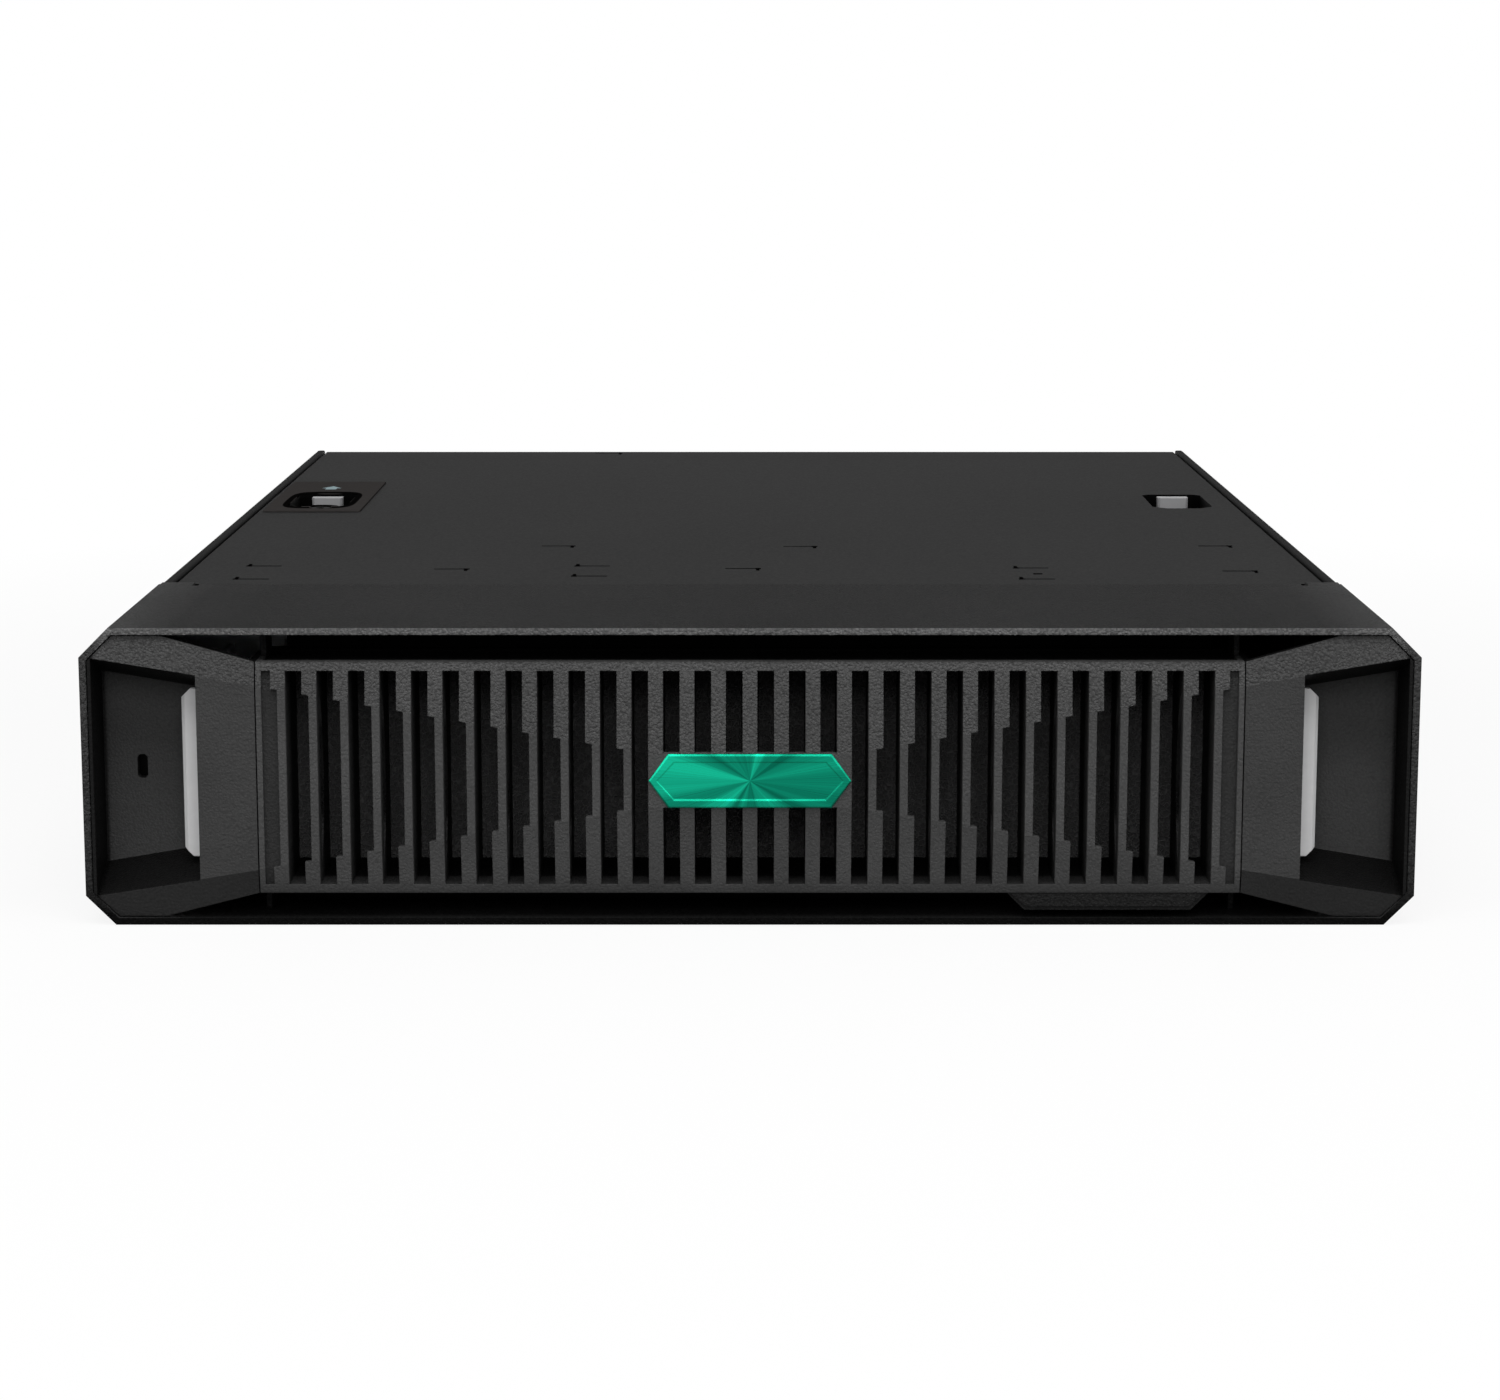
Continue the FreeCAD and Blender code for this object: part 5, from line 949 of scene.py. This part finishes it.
# %% [markdown]
# ## Fan impellers
# Server fans move air against high back pressure, so their blades are wide, twisted and
# swept, and seen from in front they overlap. Each section of a blade is a thin cambered
# foil; the pitch eases from root to tip. The hub is a domed cup with a bare round label.

# %% Impellers
BLADES = 7
BLADE_ANGLE = math.radians(59)
BLADE_SWEEP = math.radians(11)
BLADE_HALF = 0.0007
TRAILING = 0.83
SECTIONS = 6
CHORD_POINTS = 9
HUB = 0.019
HUB_WALL = 0.002
ROOT_LAP = 0.0008
STRUTS_DEEP = 0.005
ROUND_STEPS = 40


def foil(radius, share, start, axle, front, back):
    """One closed section of a blade at a radius, as points round the foil."""
    lead = front + 0.0035 + 0.002 * share
    trail = back - 0.0015 - 0.003 * share
    upper, lower = [], []
    for n in range(CHORD_POINTS):
        along = n / (CHORD_POINTS - 1)
        turn = start + BLADE_SWEEP * share ** 2 + BLADE_ANGLE * (along - 0.5)
        y = lead + (trail - lead) * along ** 0.85
        swell = math.sin(math.pi * min(1, along * 1.15 + 0.05)) ** 0.5
        half = BLADE_HALF * (0.34 if along > TRAILING else 0.30 + 0.70 * swell)
        shift = half / radius * 0.8
        upper.append((turn - shift, y - half * 0.8))
        lower.append((turn + shift, y + half * 0.8))
    ring = upper + lower[::-1]
    return [(axle.x + radius * math.cos(t), y, axle.z + radius * math.sin(t)) for t, y in ring]


def impeller(number):
    frame_low, frame_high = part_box(f"fan_frame_{number}")
    rotor_low, rotor_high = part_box(f"fan_rotor_{number}")
    axle = (frame_low + frame_high) / 2
    front, back = rotor_low.y, frame_high.y - STRUTS_DEEP
    nose = (axle.x, front, axle.z)
    tip = (rotor_high.z - rotor_low.z) / 2
    deep = back - front
    inner = HUB - HUB_WALL
    cup = [
        (0, 0.0006), (0.0118, 0.0006), (0.0122, 0.0), (0.0163, 0.0002), (0.0182, 0.0012),
        (HUB, 0.0034), (HUB, deep), (inner, deep), (inner, 0.006), (0.004, 0.006),
        (0.0035, deep - 0.002), (0.0014, deep - 0.002), (0.0014, deep + 0.002), (0, deep + 0.002),
    ]
    piece = Piece(f"impeller_{number}")
    piece.use(fan_plastic)
    piece.turned(cup, nose, (0, 1, 0), ROUND_STEPS)
    root = HUB - ROOT_LAP
    shares = [k / (SECTIONS - 1) for k in range(SECTIONS)]
    for n in range(BLADES):
        start = 2 * math.pi * n / BLADES
        piece.skin([foil(root + (tip - HUB + ROOT_LAP) * share, share, start, axle, front, back)
                    for share in shares])
    piece.use(sticker)
    label = [(0, 0.0001), (0.0108, 0.0001), (0.0110, 0.0004), (0.0110, 0.0007)]
    piece.turned(label, nose, (0, 1, 0), ROUND_STEPS)
    piece.done(f"fan_rotor_{number}", "black_plastic", f"fan_rotor_{number}", crease=40)


for number in FANS:
    impeller(number)
print("impellers", len(FANS))

# %% [markdown]
# ## Power stages on the board
# Along the processor stand chokes in pressed-powder cubes, and in front of them a row of
# polymer capacitors in aluminium cans with a crimped foot. At the back, four-pin headers
# take the fans' plugs. The sizes of the boxes tell which is which.

# %% Power stages
HEADER_WIDE = 0.010
CAN_TALL = 0.009
PIN_PITCH = 0.00254
PIN_HALF = 0.0003


def header(low, high, x, y):
    """A nylon shroud with its floor and latch wall, and four gilt pins."""
    stages.use(nylon)
    stages.block(low, (high.x, low.y + 0.0014, high.z), 0.0002)
    stages.block((low.x, low.y + 0.0012, low.z), (high.x, high.y, low.z + 0.003), 0.0003)
    stages.block((low.x + 0.002, high.y - 0.0012, low.z),
                 (high.x - 0.002, high.y, high.z - 0.001), 0.0003)
    stages.use(gold)
    for n in range(4):
        stages.slab(x + (n - 1.5) * PIN_PITCH, y, PIN_HALF, PIN_HALF, low.z + 0.002,
                    high.z - 0.0006, 0.0001, 1)


def can(low, high, x, y):
    """An aluminium can, crimped above its foot, on a square plastic base."""
    radius = (high - low).y / 2
    tall = (high - low).z
    profile = [
        (0, 0), (radius, 0), (radius, 0.0011), (radius * 0.90, 0.0016), (radius * 0.90, 0.0021),
        (radius, 0.0026), (radius, tall - 0.0007), (radius * 0.93, tall), (radius * 0.80, tall),
        (radius * 0.77, tall - 0.0002), (0, tall - 0.0002),
    ]
    stages.use(can_metal)
    stages.turned(profile, (x, y, low.z), UP, steps=28)
    stages.use(black_plastic)
    stages.slab(x, y, radius, radius, low.z, low.z + 0.0008, 0.0004)


def choke(low, high, x, y):
    """A cube of pressed powder over a wide flat lead."""
    stages.use(choke_grey)
    stages.block((low.x, low.y, low.z + 0.0004), high, 0.0005, 3)
    stages.use(gold)
    stages.block((low.x - 0.0004, y - 0.0016, low.z), (high.x + 0.0004, y + 0.0016, low.z + 0.0012),
                 0.0002)


stages = Piece("power_parts")
stage_boxes = islands("power_stage")
for low, high in stage_boxes:
    x, y, _ = (low + high) / 2
    if high.x - low.x > HEADER_WIDE:
        header(low, high, x, y)
    elif high.z - low.z > CAN_TALL:
        can(low, high, x, y)
    else:
        choke(low, high, x, y)
stages.done("chassis", "black_plastic", "power_stage")
print("power parts", len(stage_boxes))

# %% [markdown]
# ## Small parts on the main board
# The open stretches of a board are covered with resistors, ceramic capacitors, chips with
# gull-wing legs and a few tantalums. They are strewn at right angles on a half-millimetre
# grid, and one is kept only where it stands wholly on the board, clear of the rest.

# %% Strewn parts
BOARD_THICK = 0.0016
GRID = 0.0005
NODE_MARGIN = 0.0015
PART_MARGIN = 0.0007
LOW_PARTS = 0.006
DROP = 0.05
TRIES = 14
FLAT = 0.0002
LEG = 0.0008
LEG_HALF = 0.0002
LEG_TALL = 0.0005
CHIP_LIFT = 0.0002
KINDS = (
    # kind, half x, half y, height, wanted
    ("big_chip", 0.0062, 0.0062, 0.0013, 5),
    ("chip", 0.0026, 0.0034, 0.0015, 20),
    ("coil", 0.0030, 0.0030, 0.0030, 9),
    ("tantalum", 0.0018, 0.0014, 0.0019, 22),
    ("ceramic", 0.0011, 0.0007, 0.0011, 110),
    ("resistor", 0.0009, 0.0005, 0.0005, 170),
)
LEGS = {"big_chip": 14, "chip": 4}
MOULDED = {"coil": (choke_grey, 0.0005, 2), "tantalum": (tantalum_tan, 0.00025, 1)}
STANDING = (
    "heat_sink", "cpu_carrier", "dimm_sockets", "lan_ports", "usb_ports", "small_sink",
    "board_modules", "riser_card", "power_stage", "screws", "control_board", "psu_cage",
    "drive_cage", "power_backplane", "drive_backplane", "fan_bracket",
)

board_low, board_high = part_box("main_board")
board_top = board_low.z + BOARD_THICK
board = surface("main_board")
taken = []


def grown(x0, x1, y0, y1, margin):
    """An area of the board with a margin all round."""
    return x0 - margin, x1 + margin, y0 - margin, y1 + margin


def fits(x, y, half_x, half_y):
    """True where a part of that size stands on bare board, clear of the others."""
    area = x0, x1, y0, y1 = x - half_x, x + half_x, y - half_y, y + half_y
    rim = grown(*area, NODE_MARGIN)
    for corner in ((a, b, board_high.z + DROP) for a in rim[:2] for b in rim[2:]):
        hit = board.ray_cast(Vector(corner), -UP)[0]
        if hit is None or abs(hit.z - board_top) > FLAT:
            return False
    if any(x1 > a0 and x0 < a1 and y1 > b0 and y0 < b1 for a0, a1, b0, b1 in taken):
        return False
    taken.append(grown(*area, PART_MARGIN))
    return True


def chip(x, y, half_x, half_y, top, legs):
    """A chip body with gull-wing legs along two sides."""
    half_x -= LEG
    strewn.use(chip_black)
    strewn.slab(x, y, half_x, half_y, board_top + CHIP_LIFT, top, 0.0002, 1)
    strewn.use(tin)
    for side in (-1, 1):
        for n in range(legs):
            leg_y = y - half_y + (n + 0.5) * 2 * half_y / legs
            x0, x1 = sorted((x + side * half_x * 0.98, x + side * (half_x + LEG)))
            strewn.block((x0, leg_y - LEG_HALF, board_top),
                         (x1, leg_y + LEG_HALF, board_top + LEG_TALL))


def capped(x, y, half_x, half_y, tall, body):
    """A body between two tinned end caps."""
    strewn.use(tin)
    strewn.slab(x, y, half_x, half_y, board_top, board_top + tall)
    strewn.use(body)
    long_x, long_y = (0.6, 1.03) if half_x > half_y else (1.03, 0.6)
    strewn.slab(x, y, half_x * long_x, half_y * long_y, board_top, board_top + tall * 1.04)


for node in STANDING:
    for low, high in islands(node):
        if high.z > board_top + 0.0001 and low.z < board_top + LOW_PARTS:
            taken.append(grown(low.x, high.x, low.y, high.y, NODE_MARGIN))

strewn = Piece("board_parts")
made = {}
for kind, half_a, half_b, tall, wanted in KINDS:
    tries = made[kind] = 0
    top = board_top + tall
    while made[kind] < wanted and tries < wanted * TRIES:
        tries += 1
        x = round(random.uniform(board_low.x, board_high.x) / GRID) * GRID
        y = round(random.uniform(board_low.y, board_high.y) / GRID) * GRID
        along = random.random() < 0.5 or kind == "chip"
        half_x, half_y = (half_a, half_b) if along else (half_b, half_a)
        if not fits(x, y, half_x, half_y):
            continue
        made[kind] += 1
        if kind in LEGS:
            chip(x, y, half_x, half_y, top, LEGS[kind])
        elif kind in MOULDED:
            body, *edges = MOULDED[kind]
            strewn.use(body)
            strewn.slab(x, y, half_x, half_y, board_top, top, *edges)
        else:
            capped(x, y, half_x, half_y, tall, ceramic_tan if kind == "ceramic" else chip_black)
strewn.done("chassis", "circuit_board")
print("strewn", made)

# %% [markdown]
# ## Contacts and lights in the sockets
# Each network mouth gets its eight gilt springs, which slope down into the mouth, and two
# small windows for the link lights above it. The tongues in the flat mouths beside them
# get their own gilt strips.

# %% Socket contacts
SPRINGS = 8
SPRING_PITCH = 0.00102
SPRING_RING = ((-0.00017, 0), (0.00017, 0), (0.00017, 0.0002), (-0.00017, 0.0002))
SPRING_ENDS = ((0.0025, 0.0003), (0.0105, 0.0034))
LENS_ASIDE = 0.0042
LENS_HALF = 0.0014
STRIP_HALF = 0.00035
NARROW = 0.015

contacts = Piece("socket_contacts")
openings = frame["record"]["physics"]["openings"]
mouths = [opening["box_m"] for opening in openings if opening["name"].startswith("network_port")]
ports_low, ports_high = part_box("lan_ports")
for low, high in mouths:
    middle = (low[0] + high[0]) / 2
    contacts.use(gold)
    for n in range(SPRINGS):
        x = middle + (n - (SPRINGS - 1) / 2) * SPRING_PITCH
        contacts.skin([[(x + aside, ports_low.y + deep, high[2] - drop + up)
                        for aside, up in SPRING_RING] for deep, drop in SPRING_ENDS])
    for side, lens in ((-1, lens_green), (1, lens_amber)):
        contacts.use(lens)
        x = middle + side * LENS_ASIDE
        contacts.block((x - LENS_HALF, ports_low.y - 0.0001, ports_high.z - 0.0021),
                       (x + LENS_HALF, ports_low.y + 0.0006, ports_high.z - 0.0009), 0.0002)
contacts.use(gold)
for low, high in islands("usb_ports"):
    tongue, count, pitch = (0.0048, 4, 0.0023) if high.x - low.x < NARROW else (0.0034, 9, 0.0012)
    tongue_top = low.z + tongue
    for n in range(count):
        x = (low.x + high.x) / 2 + (n - (count - 1) / 2) * pitch
        contacts.block((x - STRIP_HALF, CHASSIS_FRONT + 0.0014, tongue_top - 0.0002),
                       (x + STRIP_HALF, CHASSIS_FRONT + 0.0090, tongue_top + 0.0001), 0.00004, 1)
contacts.done("chassis", "black_plastic")
print("network mouths", len(mouths))
